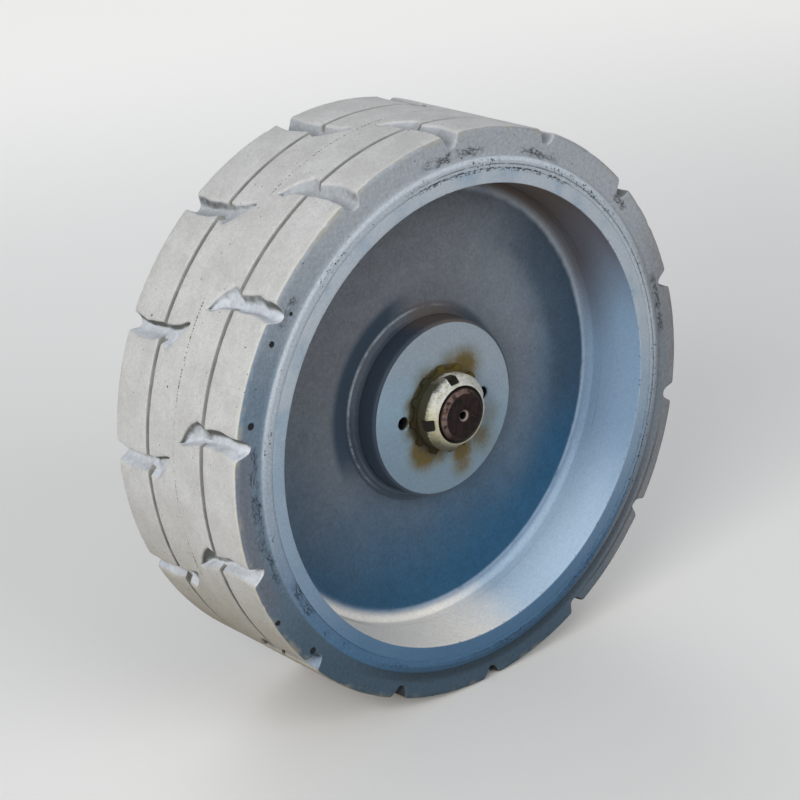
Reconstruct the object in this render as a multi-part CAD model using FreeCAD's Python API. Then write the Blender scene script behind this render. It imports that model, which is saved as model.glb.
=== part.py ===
import FreeCAD, Part
import math
import os

# Scissor lift wheel with the hub and brake unit that carries it, in millimetres.
# Origin: centre of the hub flange's mounting face. +Y runs inboard along the axle,
# +Z is up, and the wheel's dished outer side looks to -Y.

# Wheel, measured from the plane of the tyre's outer sidewall
TYRE_DIAMETER = 381.0
TYRE_WIDTH = 127.0
TYRE_THICKNESS = 27.0        # tread to the steel band
WHEEL_OFFSET = 142.0         # outer sidewall plane to the flange's mounting face
SHOULDER_CHAMFER = 5.0

# Tread
GROOVE_SPACING = 56.8        # between the two circumferential grooves
GROOVE_WIDTH = 3.2
GROOVE_DEPTH = 5.0
NOTCH_COUNT = 14             # on each shoulder
NOTCH_WIDTH = 11.0
NOTCH_LENGTH = 57.0          # from the sidewall to the tip
NOTCH_TAPER = 15.0           # length of the pointed inner end
NOTCH_SWEEP = 4.0            # the tip's sideways shift along the tread
NOTCH_DEPTH = 8.5
NOTCH_START = 39.8           # degrees from +X towards +Z, at the outer shoulder
NOTCH_STAGGER = 9.7          # degrees from an outer notch to the next inner one

# Rim band and the rubber lip that is level with its edge
BAND_THICKNESS = 9.5         # at its two edges
BAND_DRAFT = 3.0             # by how much the bore narrows towards the disc
LIP_HEIGHT = 1.2             # of band and lip above the sidewall
LIP_WIDTH = 7.5

# Disc
DISC_DEPTH = 44.0            # outer sidewall plane to the disc's flat face
DISC_THICKNESS = 12.0
DISC_FILLET = 10.0           # where the disc turns into the band
DIP_FLOOR = 7.0              # width of the flat floor of the dip round the boss
DIP_RUN = 17.0               # from the floor out to the disc's flat face
DIP_DEPTH = 4.0

# Boss
BOSS_RADIUS = 60.0
BOSS_FACE_DEPTH = 28.4       # outer sidewall plane to the boss's face
BOSS_FACE_CHAMFER = 2.3
BOSS_LENGTH = 61.6
BOSS_TAIL_RADIUS = 42.0
BOSS_TAIL_LENGTH = 22.0
WELD_LEG = 6.0               # the weld's height up the boss
PULLER_RADIUS = 34.5         # where the two puller holes lie
PULLER_HOLE_RADIUS = 4.4
PULLER_HOLE_DEPTH = 22.0

# Axle shaft
JOURNAL_RADIUS = 27.5
TAPER_RATIO = 0.05           # radius lost for each millimetre of length
TAPER_SETBACK = 3.0          # the taper stops short of the boss's face
THREAD_RADIUS = 17.9
THREAD_PROUD = 3.0           # shaft's end past the nut
SHAFT_CHAMFER = 3.0
CENTRE_HOLE_RADIUS = 2.5
CENTRE_HOLE_DEPTH = 7.0
CENTRE_CONE_RADIUS = 4.2
SHAFT_TAIL = 50.0            # journal's length inboard of the mounting face
KEY_WIDTH = 12.0
KEY_HEIGHT = 10.0
KEY_LENGTH = 40.0

# Nut and tab washer
NUT_RADIUS = 26.0
NUT_THICKNESS = 13.9
NUT_CHAMFER = 5.8
NUT_FACE_RADIUS = 19.6
NUT_BORE_CHAMFER = 0.8
NUT_SLOT_COUNT = 4
NUT_SLOT_WIDTH = 8.0
NUT_SLOT_DEPTH = 5.0
NUT_SLOT_LENGTH = 10.4       # from the front face
NUT_SLOT_ANGLE = 94.0        # of the first slot, from +X towards +Z
WASHER_RADIUS = 27.0
WASHER_THICKNESS = 3.0
TAB_COUNT = 12
TAB_WIDTH = 5.0
TAB_LENGTH = 3.5             # past the washer's edge

# Hub housing
FLANGE_SIDE = 150.0
FLANGE_CORNER = 24.0
FLANGE_THICKNESS = 18.0
BOLT_CIRCLE = 147.6
BOLT_COUNT = 4
BOLT_HOLE_RADIUS = 7.15
BOLT_FACE_RADIUS = 14.0      # machined seats for the bolt heads
BOLT_FACE_DEPTH = 1.0
HOUSING_RADIUS = 56.0
HOUSING_NOSE_RADIUS = 50.0
HOUSING_GAP = 7.0            # boss to the housing's nose
RIB_COUNT = 8
RIB_THICKNESS = 8.0
RIB_REACH = 10.0
PILOT_RADIUS = 63.5
PILOT_LENGTH = 10.0

# Seal
SEAL_RADIUS = 40.0
SEAL_PROUD = 1.5
SEAL_DEPTH = 10.0

# Brake
BRAKE_RADIUS = 60.0
BRAKE_LENGTH = 52.0
BRAKE_BORE_LENGTH = 44.0
COVER_THICKNESS = 14.0
COVER_DISH_RADIUS = 34.0
COVER_DISH_DEPTH = 5.0
COVER_BOLT_CIRCLE = 100.0
COVER_BOLT_COUNT = 6
COVER_BOLT_HEAD = 7.5        # half of the hexagon across its flats
COVER_BOLT_HEIGHT = 6.0
PORT_OFFSET = 19.0           # of port and bleed screw from the axle
PORT_BOSS_RADIUS = 13.0
PORT_BOSS_HEIGHT = 8.0       # above the dish's floor
FITTING_HEX = 11.0           # half of the hexagon across its flats
FITTING_HEX_HEIGHT = 10.0
FITTING_PIPE_RADIUS = 6.5
FITTING_LENGTH = 22.0
BLEED_ANGLE = 130.0          # from the fitting, about the axle
BLEED_HEX = 5.0
BLEED_LENGTH = 14.0

# Clearances
FIT_GAP = 0.05               # between pieces that turn or seat in each other
RUNNING_GAP = 0.06           # journal in the housing

# Worked out from the sizes above, along Y
OUTER_Y = -WHEEL_OFFSET
INNER_Y = OUTER_Y + TYRE_WIDTH
TREAD_R = TYRE_DIAMETER / 2.0
BAND_OUTER_R = TREAD_R - TYRE_THICKNESS
BAND_EDGE_R = BAND_OUTER_R - BAND_THICKNESS
BAND_THROAT_R = BAND_EDGE_R - BAND_DRAFT
DISC_Y = OUTER_Y + DISC_DEPTH
DISC_BACK_Y = DISC_Y + DISC_THICKNESS
DIP_FLOOR_Y = DISC_Y + DIP_DEPTH
DIP_FLOOR_R = BOSS_RADIUS + DIP_FLOOR
DIP_EDGE_R = DIP_FLOOR_R + DIP_RUN
BOSS_Y = OUTER_Y + BOSS_FACE_DEPTH
BOSS_END_Y = BOSS_Y + BOSS_LENGTH
WASHER_Y = BOSS_Y - WASHER_THICKNESS
NUT_Y = WASHER_Y - NUT_THICKNESS
SHAFT_END_Y = NUT_Y - THREAD_PROUD
TAPER_TOP_Y = BOSS_Y + TAPER_SETBACK
NOSE_Y = BOSS_END_Y + HOUSING_GAP
BRAKE_END_Y = PILOT_LENGTH + BRAKE_LENGTH
COVER_Y = BRAKE_END_Y + COVER_THICKNESS
DISH_Y = COVER_Y - COVER_DISH_DEPTH


def revolve(points):
    """Turns a closed outline of (radius, y) points round the axle."""
    corners = [FreeCAD.Vector(radius, y, 0) for radius, y in points]
    face = Part.Face(Part.makePolygon(corners + corners[:1]))
    return face.revolve(FreeCAD.Vector(0, 0, 0), FreeCAD.Vector(0, 1, 0), 360)


def revolve_edges(edges):
    """Turns a closed outline of edges round the axle."""
    face = Part.Face(Part.Wire(edges))
    return face.revolve(FreeCAD.Vector(0, 0, 0), FreeCAD.Vector(0, 1, 0), 360)


def line(start, end):
    """A straight edge between two (radius, y) points."""
    return Part.makeLine(FreeCAD.Vector(start[0], start[1], 0), FreeCAD.Vector(end[0], end[1], 0))


def arc(start, middle, end):
    """An arc edge through three (radius, y) points."""
    corners = [FreeCAD.Vector(radius, y, 0) for radius, y in (start, middle, end)]
    return Part.Arc(*corners).toShape()


def cylinder(radius, y_start, length, x=0.0, z=0.0):
    """A cylinder along +Y."""
    return Part.makeCylinder(radius, length, FreeCAD.Vector(x, y_start, z), FreeCAD.Vector(0, 1, 0))


def block(width, y_start, length, z_low, height):
    """A box that is centred on X."""
    return Part.makeBox(width, length, height, FreeCAD.Vector(-width / 2.0, y_start, z_low))


def turned(shape, degrees):
    """A copy turned about the axle, from +X towards +Z."""
    copy = shape.copy()
    copy.rotate(FreeCAD.Vector(0, 0, 0), FreeCAD.Vector(0, 1, 0), -degrees)
    return copy


def ring_of(shape, count, first=0.0):
    """Copies of a shape, evenly spaced about the axle."""
    return [turned(shape, first + index * 360.0 / count) for index in range(count)]


def hexagon(half_flats, y_start, length):
    """A hexagonal prism along +Y on the axle."""
    reach = half_flats / math.cos(math.radians(30))
    corners = []
    for index in range(7):
        angle = math.radians(60 * index)
        corners.append(FreeCAD.Vector(reach * math.cos(angle), y_start, reach * math.sin(angle)))
    return Part.Face(Part.makePolygon(corners)).extrude(FreeCAD.Vector(0, length, 0))


def moved(shape, x=0.0, y=0.0, z=0.0):
    """A copy moved by the given steps."""
    copy = shape.copy()
    copy.translate(FreeCAD.Vector(x, y, z))
    return copy


def taper_radius(y):
    """The shaft's radius on its tapered seat."""
    return JOURNAL_RADIUS - TAPER_RATIO * (BOSS_END_Y - y)


def notch_cutter():
    """One tread notch of the outer shoulder, at the top of the tyre: a slot with a pointed, swept end."""
    half = NOTCH_WIDTH / 2.0
    neck_y = OUTER_Y + NOTCH_LENGTH - NOTCH_TAPER
    # (along the tread, y): the sides run in from the sidewall and close at the swept tip
    outline = [
        (half, OUTER_Y - LIP_HEIGHT),
        (-half, OUTER_Y - LIP_HEIGHT),
        (-half, neck_y),
        (-half - NOTCH_SWEEP, OUTER_Y + NOTCH_LENGTH),
        (half, neck_y),
    ]
    floor = TREAD_R - NOTCH_DEPTH
    corners = [FreeCAD.Vector(x, y, floor) for x, y in outline]
    face = Part.Face(Part.makePolygon(corners + corners[:1]))
    return face.extrude(FreeCAD.Vector(0, 0, 2 * NOTCH_DEPTH))


def tread_notches():
    """All notches of both shoulders; the inner ones are the outer ones turned half round."""
    outer = notch_cutter()
    middle = FreeCAD.Vector(0, OUTER_Y + TYRE_WIDTH / 2.0, 0)
    inner = outer.copy()
    inner.rotate(middle, FreeCAD.Vector(0, 0, 1), 180)
    first = NOTCH_START - 90.0
    return ring_of(outer, NOTCH_COUNT, first) + ring_of(inner, NOTCH_COUNT, first + NOTCH_STAGGER)


def tyre():
    """Solid rubber tyre with two grooves, a raised lip on each side and notched shoulders."""
    lip_r = BAND_OUTER_R + LIP_WIDTH
    side = [
        (BAND_OUTER_R + FIT_GAP, -LIP_HEIGHT),
        (lip_r - LIP_HEIGHT, -LIP_HEIGHT),
        (lip_r, 0.0),
        (TREAD_R - SHOULDER_CHAMFER, 0.0),
        (TREAD_R, SHOULDER_CHAMFER),
    ]
    outline = [(radius, OUTER_Y + depth) for radius, depth in side]
    for groove_y in (-GROOVE_SPACING / 2.0, GROOVE_SPACING / 2.0):
        centre = OUTER_Y + TYRE_WIDTH / 2.0 + groove_y
        outline += [
            (TREAD_R, centre - GROOVE_WIDTH / 2.0),
            (TREAD_R - GROOVE_DEPTH, centre),
            (TREAD_R, centre + GROOVE_WIDTH / 2.0),
        ]
    outline += [(radius, INNER_Y - depth) for radius, depth in reversed(side)]
    return revolve(outline).cut(tread_notches())


def rim_band():
    """Steel band under the rubber, its bore drafted towards the disc from both edges."""
    return revolve([
        (BAND_EDGE_R, OUTER_Y - LIP_HEIGHT),
        (BAND_OUTER_R, OUTER_Y - LIP_HEIGHT),
        (BAND_OUTER_R, INNER_Y + LIP_HEIGHT),
        (BAND_EDGE_R, INNER_Y + LIP_HEIGHT),
        (BAND_THROAT_R, DISC_BACK_Y + DISC_FILLET),
        (BAND_THROAT_R, DISC_Y - DISC_FILLET),
    ])


def wheel_disc():
    """Pressed disc with a rounded rim on both faces and a shallow dip round the boss."""
    outer_r = BAND_THROAT_R - FIT_GAP
    web_r = outer_r - DISC_FILLET
    hole_r = BOSS_RADIUS + FIT_GAP
    swing = DISC_FILLET * (1 - math.sqrt(0.5))
    front_y = DISC_Y - DISC_FILLET
    back_y = DISC_BACK_Y + DISC_FILLET
    dip_back_y = DISC_BACK_Y + DIP_DEPTH
    return revolve_edges([
        line((hole_r, DIP_FLOOR_Y), (DIP_FLOOR_R, DIP_FLOOR_Y)),
        line((DIP_FLOOR_R, DIP_FLOOR_Y), (DIP_EDGE_R, DISC_Y)),
        line((DIP_EDGE_R, DISC_Y), (web_r, DISC_Y)),
        arc((web_r, DISC_Y), (outer_r - swing, DISC_Y - swing), (outer_r, front_y)),
        line((outer_r, front_y), (outer_r, back_y)),
        arc((outer_r, back_y), (outer_r - swing, DISC_BACK_Y + swing), (web_r, DISC_BACK_Y)),
        line((web_r, DISC_BACK_Y), (DIP_EDGE_R, DISC_BACK_Y)),
        line((DIP_EDGE_R, DISC_BACK_Y), (DIP_FLOOR_R, dip_back_y)),
        line((DIP_FLOOR_R, dip_back_y), (hole_r, dip_back_y)),
        line((hole_r, dip_back_y), (hole_r, DIP_FLOOR_Y)),
    ])


def boss_weld():
    """Fillet weld between the boss and the floor of the disc's dip."""
    inner_r = BOSS_RADIUS + FIT_GAP
    return revolve([
        (inner_r, DIP_FLOOR_Y),
        (DIP_FLOOR_R - FIT_GAP, DIP_FLOOR_Y),
        (DIP_FLOOR_R - WELD_LEG / 2.0, DIP_FLOOR_Y - WELD_LEG / 4.0),
        (inner_r, DIP_FLOOR_Y - WELD_LEG),
    ])


def keyway(height):
    """The space for the key along the top of the tapered seat."""
    seat_r = taper_radius(BOSS_END_Y - KEY_LENGTH / 2.0)
    return block(KEY_WIDTH, BOSS_END_Y - KEY_LENGTH, KEY_LENGTH, seat_r - KEY_HEIGHT / 2.0, height)


def hub_boss():
    """Turned boss with a tapered bore, a keyway and two puller holes."""
    face_r = BOSS_RADIUS - BOSS_FACE_CHAMFER
    tail_y = BOSS_END_Y - BOSS_TAIL_LENGTH
    body = revolve([
        (taper_radius(BOSS_Y) + FIT_GAP, BOSS_Y),
        (face_r, BOSS_Y),
        (BOSS_RADIUS, BOSS_Y + BOSS_FACE_CHAMFER),
        (BOSS_RADIUS, tail_y),
        (BOSS_TAIL_RADIUS, tail_y + (BOSS_RADIUS - BOSS_TAIL_RADIUS) / 2.0),
        (BOSS_TAIL_RADIUS, BOSS_END_Y),
        (taper_radius(BOSS_END_Y) + FIT_GAP, BOSS_END_Y),
    ])
    holes = [cylinder(PULLER_HOLE_RADIUS, BOSS_Y, PULLER_HOLE_DEPTH, x) for x in (PULLER_RADIUS, -PULLER_RADIUS)]
    return body.cut(holes + [keyway(KEY_HEIGHT)])


def axle_shaft():
    """Shaft with a threaded end, a tapered seat and a plain journal in the housing."""
    body = revolve([
        (0.0, SHAFT_END_Y),
        (THREAD_RADIUS - SHAFT_CHAMFER, SHAFT_END_Y),
        (THREAD_RADIUS, SHAFT_END_Y + SHAFT_CHAMFER),
        (THREAD_RADIUS, TAPER_TOP_Y),
        (taper_radius(TAPER_TOP_Y), TAPER_TOP_Y),
        (taper_radius(BOSS_END_Y), BOSS_END_Y),
        (JOURNAL_RADIUS, SHAFT_TAIL),
        (0.0, SHAFT_TAIL),
    ])
    cone_depth = CENTRE_CONE_RADIUS - CENTRE_HOLE_RADIUS
    centre_hole = revolve([
        (0.0, SHAFT_END_Y),
        (CENTRE_CONE_RADIUS, SHAFT_END_Y),
        (CENTRE_HOLE_RADIUS, SHAFT_END_Y + cone_depth),
        (CENTRE_HOLE_RADIUS, SHAFT_END_Y + CENTRE_HOLE_DEPTH),
        (0.0, SHAFT_END_Y + CENTRE_HOLE_DEPTH + CENTRE_HOLE_RADIUS),
    ])
    return body.cut([centre_hole, keyway(KEY_HEIGHT)])


def shaft_key():
    """Key between the tapered seat and the boss."""
    seat_r = taper_radius(BOSS_END_Y - KEY_LENGTH / 2.0)
    low = seat_r - KEY_HEIGHT / 2.0 + FIT_GAP
    width = KEY_WIDTH - 2 * FIT_GAP
    length = KEY_LENGTH - 2 * FIT_GAP
    return block(width, BOSS_END_Y - KEY_LENGTH + FIT_GAP, length, low, KEY_HEIGHT - 2 * FIT_GAP)


def tab_washer():
    """Washer with flat tabs round its edge."""
    inner_r = THREAD_RADIUS + FIT_GAP
    body = revolve([
        (inner_r, WASHER_Y),
        (WASHER_RADIUS, WASHER_Y),
        (WASHER_RADIUS, BOSS_Y),
        (inner_r, BOSS_Y),
    ])
    tab = block(TAB_WIDTH, WASHER_Y, WASHER_THICKNESS, WASHER_RADIUS - TAB_LENGTH, 2 * TAB_LENGTH)
    return body.fuse(ring_of(tab, TAB_COUNT, NUT_SLOT_ANGLE - 90.0)).removeSplitter()


def slotted_nut():
    """Round nut with a broad front chamfer and spanner slots."""
    chamfer_y = NUT_Y + NUT_CHAMFER
    bore_r = THREAD_RADIUS + FIT_GAP
    body = revolve([
        (bore_r, NUT_Y + NUT_BORE_CHAMFER),
        (bore_r + NUT_BORE_CHAMFER, NUT_Y),
        (NUT_FACE_RADIUS, NUT_Y),
        (NUT_RADIUS, chamfer_y),
        (NUT_RADIUS, WASHER_Y),
        (bore_r, WASHER_Y),
    ])
    slot = block(NUT_SLOT_WIDTH, NUT_Y, NUT_SLOT_LENGTH, NUT_RADIUS - NUT_SLOT_DEPTH, 2 * NUT_SLOT_DEPTH)
    return body.cut(ring_of(slot, NUT_SLOT_COUNT, NUT_SLOT_ANGLE - 90.0))


def hub_housing():
    """Cast flange with a ribbed bearing nose on the wheel's side and a pilot on the other."""
    plate = block(FLANGE_SIDE, -FLANGE_THICKNESS, FLANGE_THICKNESS, -FLANGE_SIDE / 2.0, FLANGE_SIDE)
    upright = [edge for edge in plate.Edges if edge.BoundBox.YLength > FLANGE_THICKNESS / 2.0]
    plate = plate.makeFillet(FLANGE_CORNER, upright)
    bore_r = JOURNAL_RADIUS + RUNNING_GAP
    nose = revolve([
        (bore_r, NOSE_Y),
        (HOUSING_NOSE_RADIUS, NOSE_Y),
        (HOUSING_RADIUS, -FLANGE_THICKNESS),
        (PILOT_RADIUS, -FLANGE_THICKNESS),
        (PILOT_RADIUS, PILOT_LENGTH),
        (bore_r, PILOT_LENGTH),
    ])
    rib_length = -FLANGE_THICKNESS - NOSE_Y
    rib = block(RIB_THICKNESS, NOSE_Y + rib_length / 2.0, rib_length / 2.0, bore_r + RIB_THICKNESS,
                HOUSING_RADIUS + RIB_REACH - bore_r - RIB_THICKNESS)
    body = plate.fuse([nose] + ring_of(rib, RIB_COUNT, 360.0 / RIB_COUNT / 2.0))
    seat = cylinder(BOLT_FACE_RADIUS, -FLANGE_THICKNESS, BOLT_FACE_DEPTH, BOLT_CIRCLE / 2.0)
    hole = cylinder(BOLT_HOLE_RADIUS, -FLANGE_THICKNESS, FLANGE_THICKNESS, BOLT_CIRCLE / 2.0)
    first = 360.0 / BOLT_COUNT / 2.0
    seal_bore = cylinder(SEAL_RADIUS + FIT_GAP, NOSE_Y, SEAL_DEPTH)
    cuts = ring_of(seat, BOLT_COUNT, first) + ring_of(hole, BOLT_COUNT, first)
    return body.cut(cuts + [cylinder(bore_r, NOSE_Y, PILOT_LENGTH - NOSE_Y), seal_bore]).removeSplitter()


def shaft_seal():
    """Lip seal in the nose, round the journal."""
    start_y = NOSE_Y - SEAL_PROUD
    return revolve([
        (JOURNAL_RADIUS + RUNNING_GAP, start_y + SEAL_PROUD),
        (JOURNAL_RADIUS + SEAL_PROUD, start_y),
        (SEAL_RADIUS, start_y),
        (SEAL_RADIUS, NOSE_Y + SEAL_DEPTH),
        (JOURNAL_RADIUS + RUNNING_GAP, NOSE_Y + SEAL_DEPTH),
    ])


def brake_housing():
    """Round brake body behind the flange, closed round the shaft's tail."""
    body = cylinder(BRAKE_RADIUS, PILOT_LENGTH, BRAKE_LENGTH)
    return body.cut(cylinder(JOURNAL_RADIUS + RUNNING_GAP, PILOT_LENGTH, BRAKE_BORE_LENGTH))


def brake_cover():
    """Flat end cover with a shallow dish and a port boss in it."""
    body = cylinder(BRAKE_RADIUS, BRAKE_END_Y, COVER_THICKNESS)
    body = body.cut(cylinder(COVER_DISH_RADIUS, DISH_Y, COVER_DISH_DEPTH))
    return body.fuse(cylinder(PORT_BOSS_RADIUS, DISH_Y, PORT_BOSS_HEIGHT, z=PORT_OFFSET))


def cover_bolts():
    """Hexagon heads round the cover."""
    head = moved(hexagon(COVER_BOLT_HEAD, COVER_Y, COVER_BOLT_HEIGHT), x=COVER_BOLT_CIRCLE / 2.0)
    return Part.makeCompound(ring_of(head, COVER_BOLT_COUNT, 360.0 / COVER_BOLT_COUNT / 2.0))


def release_fitting():
    """Hexagon adapter on the port boss."""
    base_y = DISH_Y + PORT_BOSS_HEIGHT
    body = hexagon(FITTING_HEX, base_y, FITTING_HEX_HEIGHT)
    return moved(body.fuse(cylinder(FITTING_PIPE_RADIUS, base_y, FITTING_LENGTH)), z=PORT_OFFSET)


def bleed_screw():
    """Small hexagon screw in the dish."""
    return turned(moved(hexagon(BLEED_HEX, DISH_Y, BLEED_LENGTH), z=PORT_OFFSET), BLEED_ANGLE)


def main():
    """Writes one STEP file for each piece."""
    pieces = {
        "tyre": tyre,
        "rim_band": rim_band,
        "wheel_disc": wheel_disc,
        "hub_boss": hub_boss,
        "boss_weld": boss_weld,
        "axle_shaft": axle_shaft,
        "shaft_key": shaft_key,
        "tab_washer": tab_washer,
        "slotted_nut": slotted_nut,
        "hub_housing": hub_housing,
        "shaft_seal": shaft_seal,
        "brake_housing": brake_housing,
        "brake_cover": brake_cover,
        "cover_bolts": cover_bolts,
        "release_fitting": release_fitting,
        "bleed_screw": bleed_screw,
    }
    os.makedirs("parts", exist_ok=True)
    for name, make in pieces.items():
        shape = make()
        shape.exportStep(f"parts/{name}.step")
        print(name, len(shape.Solids), round(shape.Volume), shape.isValid())


main()
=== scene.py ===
"""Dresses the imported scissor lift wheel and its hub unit: meshes, finishes, light and camera."""

import logging
import math
from dataclasses import dataclass
from enum import Enum
from typing import Callable, Optional, Sequence, Union

import bmesh
import bpy
import numpy as np
from mathutils import Matrix, Vector, noise

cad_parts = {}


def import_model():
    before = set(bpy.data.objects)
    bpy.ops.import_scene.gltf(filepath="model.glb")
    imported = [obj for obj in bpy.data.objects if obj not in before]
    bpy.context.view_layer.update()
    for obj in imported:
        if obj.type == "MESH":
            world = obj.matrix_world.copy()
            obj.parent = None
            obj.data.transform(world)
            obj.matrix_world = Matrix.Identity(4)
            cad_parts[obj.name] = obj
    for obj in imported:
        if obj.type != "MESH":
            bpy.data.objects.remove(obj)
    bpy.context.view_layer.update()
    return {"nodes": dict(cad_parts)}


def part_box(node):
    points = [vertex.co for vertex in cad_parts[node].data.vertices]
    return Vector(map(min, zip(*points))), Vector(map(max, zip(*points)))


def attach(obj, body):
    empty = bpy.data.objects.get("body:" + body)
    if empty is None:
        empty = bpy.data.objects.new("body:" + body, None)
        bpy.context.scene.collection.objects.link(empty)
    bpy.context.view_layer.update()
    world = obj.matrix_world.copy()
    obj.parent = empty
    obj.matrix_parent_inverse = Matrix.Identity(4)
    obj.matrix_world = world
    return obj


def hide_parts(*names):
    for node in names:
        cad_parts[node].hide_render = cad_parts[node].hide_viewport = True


LOG = logging.getLogger("wheel")
MM = 0.001                      # sizes are in millimetres, the frame is in metres
SKIN = 0.06                     # how far the meshes stay inside the CAD pieces' reach
JOURNAL_BORE = 27.56            # radius of the bores round the shaft's journal

Piece = bpy.types.Object
Material = bpy.types.Material
Colour = tuple[float, float, float]
Place = tuple[float, float, float]
Rows = tuple[tuple[float, float], ...]
Value = Union["Wire", float, Sequence[float]]
Sockets = dict[Union[int, str], Value]


class Body(Enum):
    """The two bodies that pieces ride on."""

    WHEEL = "wheel"
    HUB = "hub_unit"


class Slot(Enum):
    """The record's material slots."""

    TYRE = "tyre_rubber"
    PAINT = "wheel_paint"
    SHAFT = "shaft_steel"
    NUT = "nut_plating"
    CASTING = "cast_housing"
    SEAL = "seal_rubber"
    BOLT = "bolt_steel"


class Carving(Enum):
    """What a tool does to the piece that it meets."""

    CUT = "DIFFERENCE"
    JOIN = "UNION"
    KEEP = "INTERSECT"


@dataclass(frozen=True)
class Span:
    """How far a CAD node reaches, in millimetres: from the axle, and along it."""

    radius: float
    start: float
    end: float

    @classmethod
    def of(cls, node: str) -> "Span":
        """Measures a node of the frame.

        Args:
            node: the node's name.

        Returns:
            Its largest radius and its two ends along Y.
        """
        low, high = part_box(node)
        reach = max(-low.x, high.x, -low.z, high.z)
        return cls(round(reach / MM, 1), round(low.y / MM, 2), round(high.y / MM, 2))

    @property
    def middle(self) -> float:
        """The plane halfway between the two ends."""
        return (self.start + self.end) / 2.0


# Outlines


@dataclass(frozen=True)
class Corner:
    """A corner of a turned outline: its radius, its place along the axle and its rounding."""

    radius: float
    y: float
    rounding: float = 0.0


def bend(before: np.ndarray, here: np.ndarray, after: np.ndarray, rounding: float) -> list[np.ndarray]:
    """Points of the arc that rounds a corner.

    Args:
        before: the corner before this one.
        here: the corner.
        after: the corner after it.
        rounding: the arc's radius.

    Returns:
        The arc's points, from the side of before to the side of after.
    """
    back = before - here
    ahead = after - here
    shortest = min(np.linalg.norm(back), np.linalg.norm(ahead))
    back = back / np.linalg.norm(back)
    ahead = ahead / np.linalg.norm(ahead)
    half = math.acos(float(np.clip(back @ ahead, -1.0, 1.0))) / 2.0
    if rounding == 0.0 or half > math.radians(89.5):
        return [here]
    reach = min(rounding / math.tan(half), 0.49 * shortest)
    radius = reach * math.tan(half)
    bisector = (back + ahead) / np.linalg.norm(back + ahead)
    centre = here + bisector * radius / math.sin(half)
    turn = math.pi - 2.0 * half
    count = max(2, math.ceil(turn / math.radians(15.0)))
    start = here + back * reach - centre
    end = here + ahead * reach - centre
    weights = [(math.sin(turn * (1 - k / count)), math.sin(turn * k / count)) for k in range(count + 1)]
    return [centre + (start * first + end * second) / math.sin(turn) for first, second in weights]


def outline(corners: Sequence[Corner], step: float, closed: bool = True) -> np.ndarray:
    """Works out the points of an outline with rounded corners.

    Args:
        corners: the outline's corners in order.
        step: the longest distance between two points on a straight run.
        closed: whether the last corner joins the first.

    Returns:
        An array of (radius, y) rows.
    """
    places = [np.array((corner.radius, corner.y)) for corner in corners]
    count = len(places)
    points: list[np.ndarray] = []
    for index, corner in enumerate(corners):
        ends_here = not closed and index in (0, count - 1)
        if ends_here:
            arc = [places[index]]
        else:
            arc = bend(places[index - 1], places[index], places[(index + 1) % count], corner.rounding)
        if points:
            points += run(points[-1], arc[0], step)
        points += arc
    if closed:
        points += run(points[-1], points[0], step)
    return np.array(points)


def run(start: np.ndarray, end: np.ndarray, step: float) -> list[np.ndarray]:
    """Points between two others, at even distances of at most a step."""
    count = math.ceil(np.linalg.norm(end - start) / step)
    return [start + (end - start) * k / count for k in range(1, count)]


# Meshes


@dataclass(frozen=True)
class Wear:
    """Smooth dents in a surface: their width, their depth and what moves their noise."""

    width: float
    depth: float
    offset: Place = (0.0, 0.0, 0.0)

    def level(self, place: Vector) -> float:
        """The noise at a place in metres, from -1 to 1."""
        return noise.noise(place / (self.width * MM) + Vector(self.offset))


def placed(name: str, data: bpy.types.ID) -> Piece:
    """Makes an object and links it to the scene.

    Args:
        name: its name.
        data: its mesh, lamp or camera.

    Returns:
        The object.
    """
    made = bpy.data.objects.new(name, data)
    bpy.context.scene.collection.objects.link(made)
    return made


def aim(thing: Piece, place: Place, target: Place, roll: float = 0.0) -> None:
    """Puts a lamp or camera at a place and turns it to a target.

    Args:
        thing: the lamp or camera.
        place: where it stands, in metres.
        target: what it faces.
        roll: its turn about its own line of sight, in degrees.
    """
    facing = (Vector(target) - Vector(place)).to_track_quat("-Z", "Y")
    thing.location = place
    thing.rotation_mode = "QUATERNION"
    thing.rotation_quaternion = facing @ Matrix.Rotation(math.radians(roll), 3, "Z").to_quaternion()


def mesh_object(name: str, points: np.ndarray, faces: Sequence[Sequence[int]]) -> Piece:
    """Makes an object of points in millimetres, with merged poles and outward normals.

    Args:
        name: the object's name.
        points: one row of x, y, z for each vertex.
        faces: each face's vertex numbers.

    Returns:
        The object, linked to the scene.
    """
    mesh = bpy.data.meshes.new(name)
    mesh.from_pydata((np.asarray(points) * MM).tolist(), [], [list(face) for face in faces])
    body = bmesh.new()
    body.from_mesh(mesh)
    bmesh.ops.remove_doubles(body, verts=body.verts, dist=0.001 * MM)
    bmesh.ops.recalc_face_normals(body, faces=body.faces)
    body.to_mesh(mesh)
    body.free()
    return placed(name, mesh)


def turned_grid(name: str, radius: np.ndarray, y: np.ndarray, angle: np.ndarray,
                closed: bool = True) -> Piece:
    """Makes a mesh from a grid whose columns go round the axle.

    Args:
        name: the object's name.
        radius: each vertex's radius, as rows by columns.
        y: its place along the axle.
        angle: its angle from +X towards +Z, in radians.
        closed: whether the last row joins the first.

    Returns:
        The object.
    """
    rows, columns = radius.shape
    points = np.stack([radius * np.cos(angle), y, radius * np.sin(angle)], axis=-1).reshape(-1, 3)
    index = np.arange(rows * columns).reshape(rows, columns)
    following = np.roll(index, -1, axis=0)
    if not closed:
        index = index[:-1]
        following = following[:-1]
    beside = np.roll(index, -1, axis=1)
    diagonal = np.roll(following, -1, axis=1)
    faces = np.stack([index, following, diagonal, beside], axis=-1).reshape(-1, 4)
    return mesh_object(name, points, faces.tolist())


def whole_turn(columns: int) -> np.ndarray:
    """The angles of columns evenly round the axle."""
    return np.linspace(0.0, 2.0 * math.pi, columns, endpoint=False)


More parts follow.
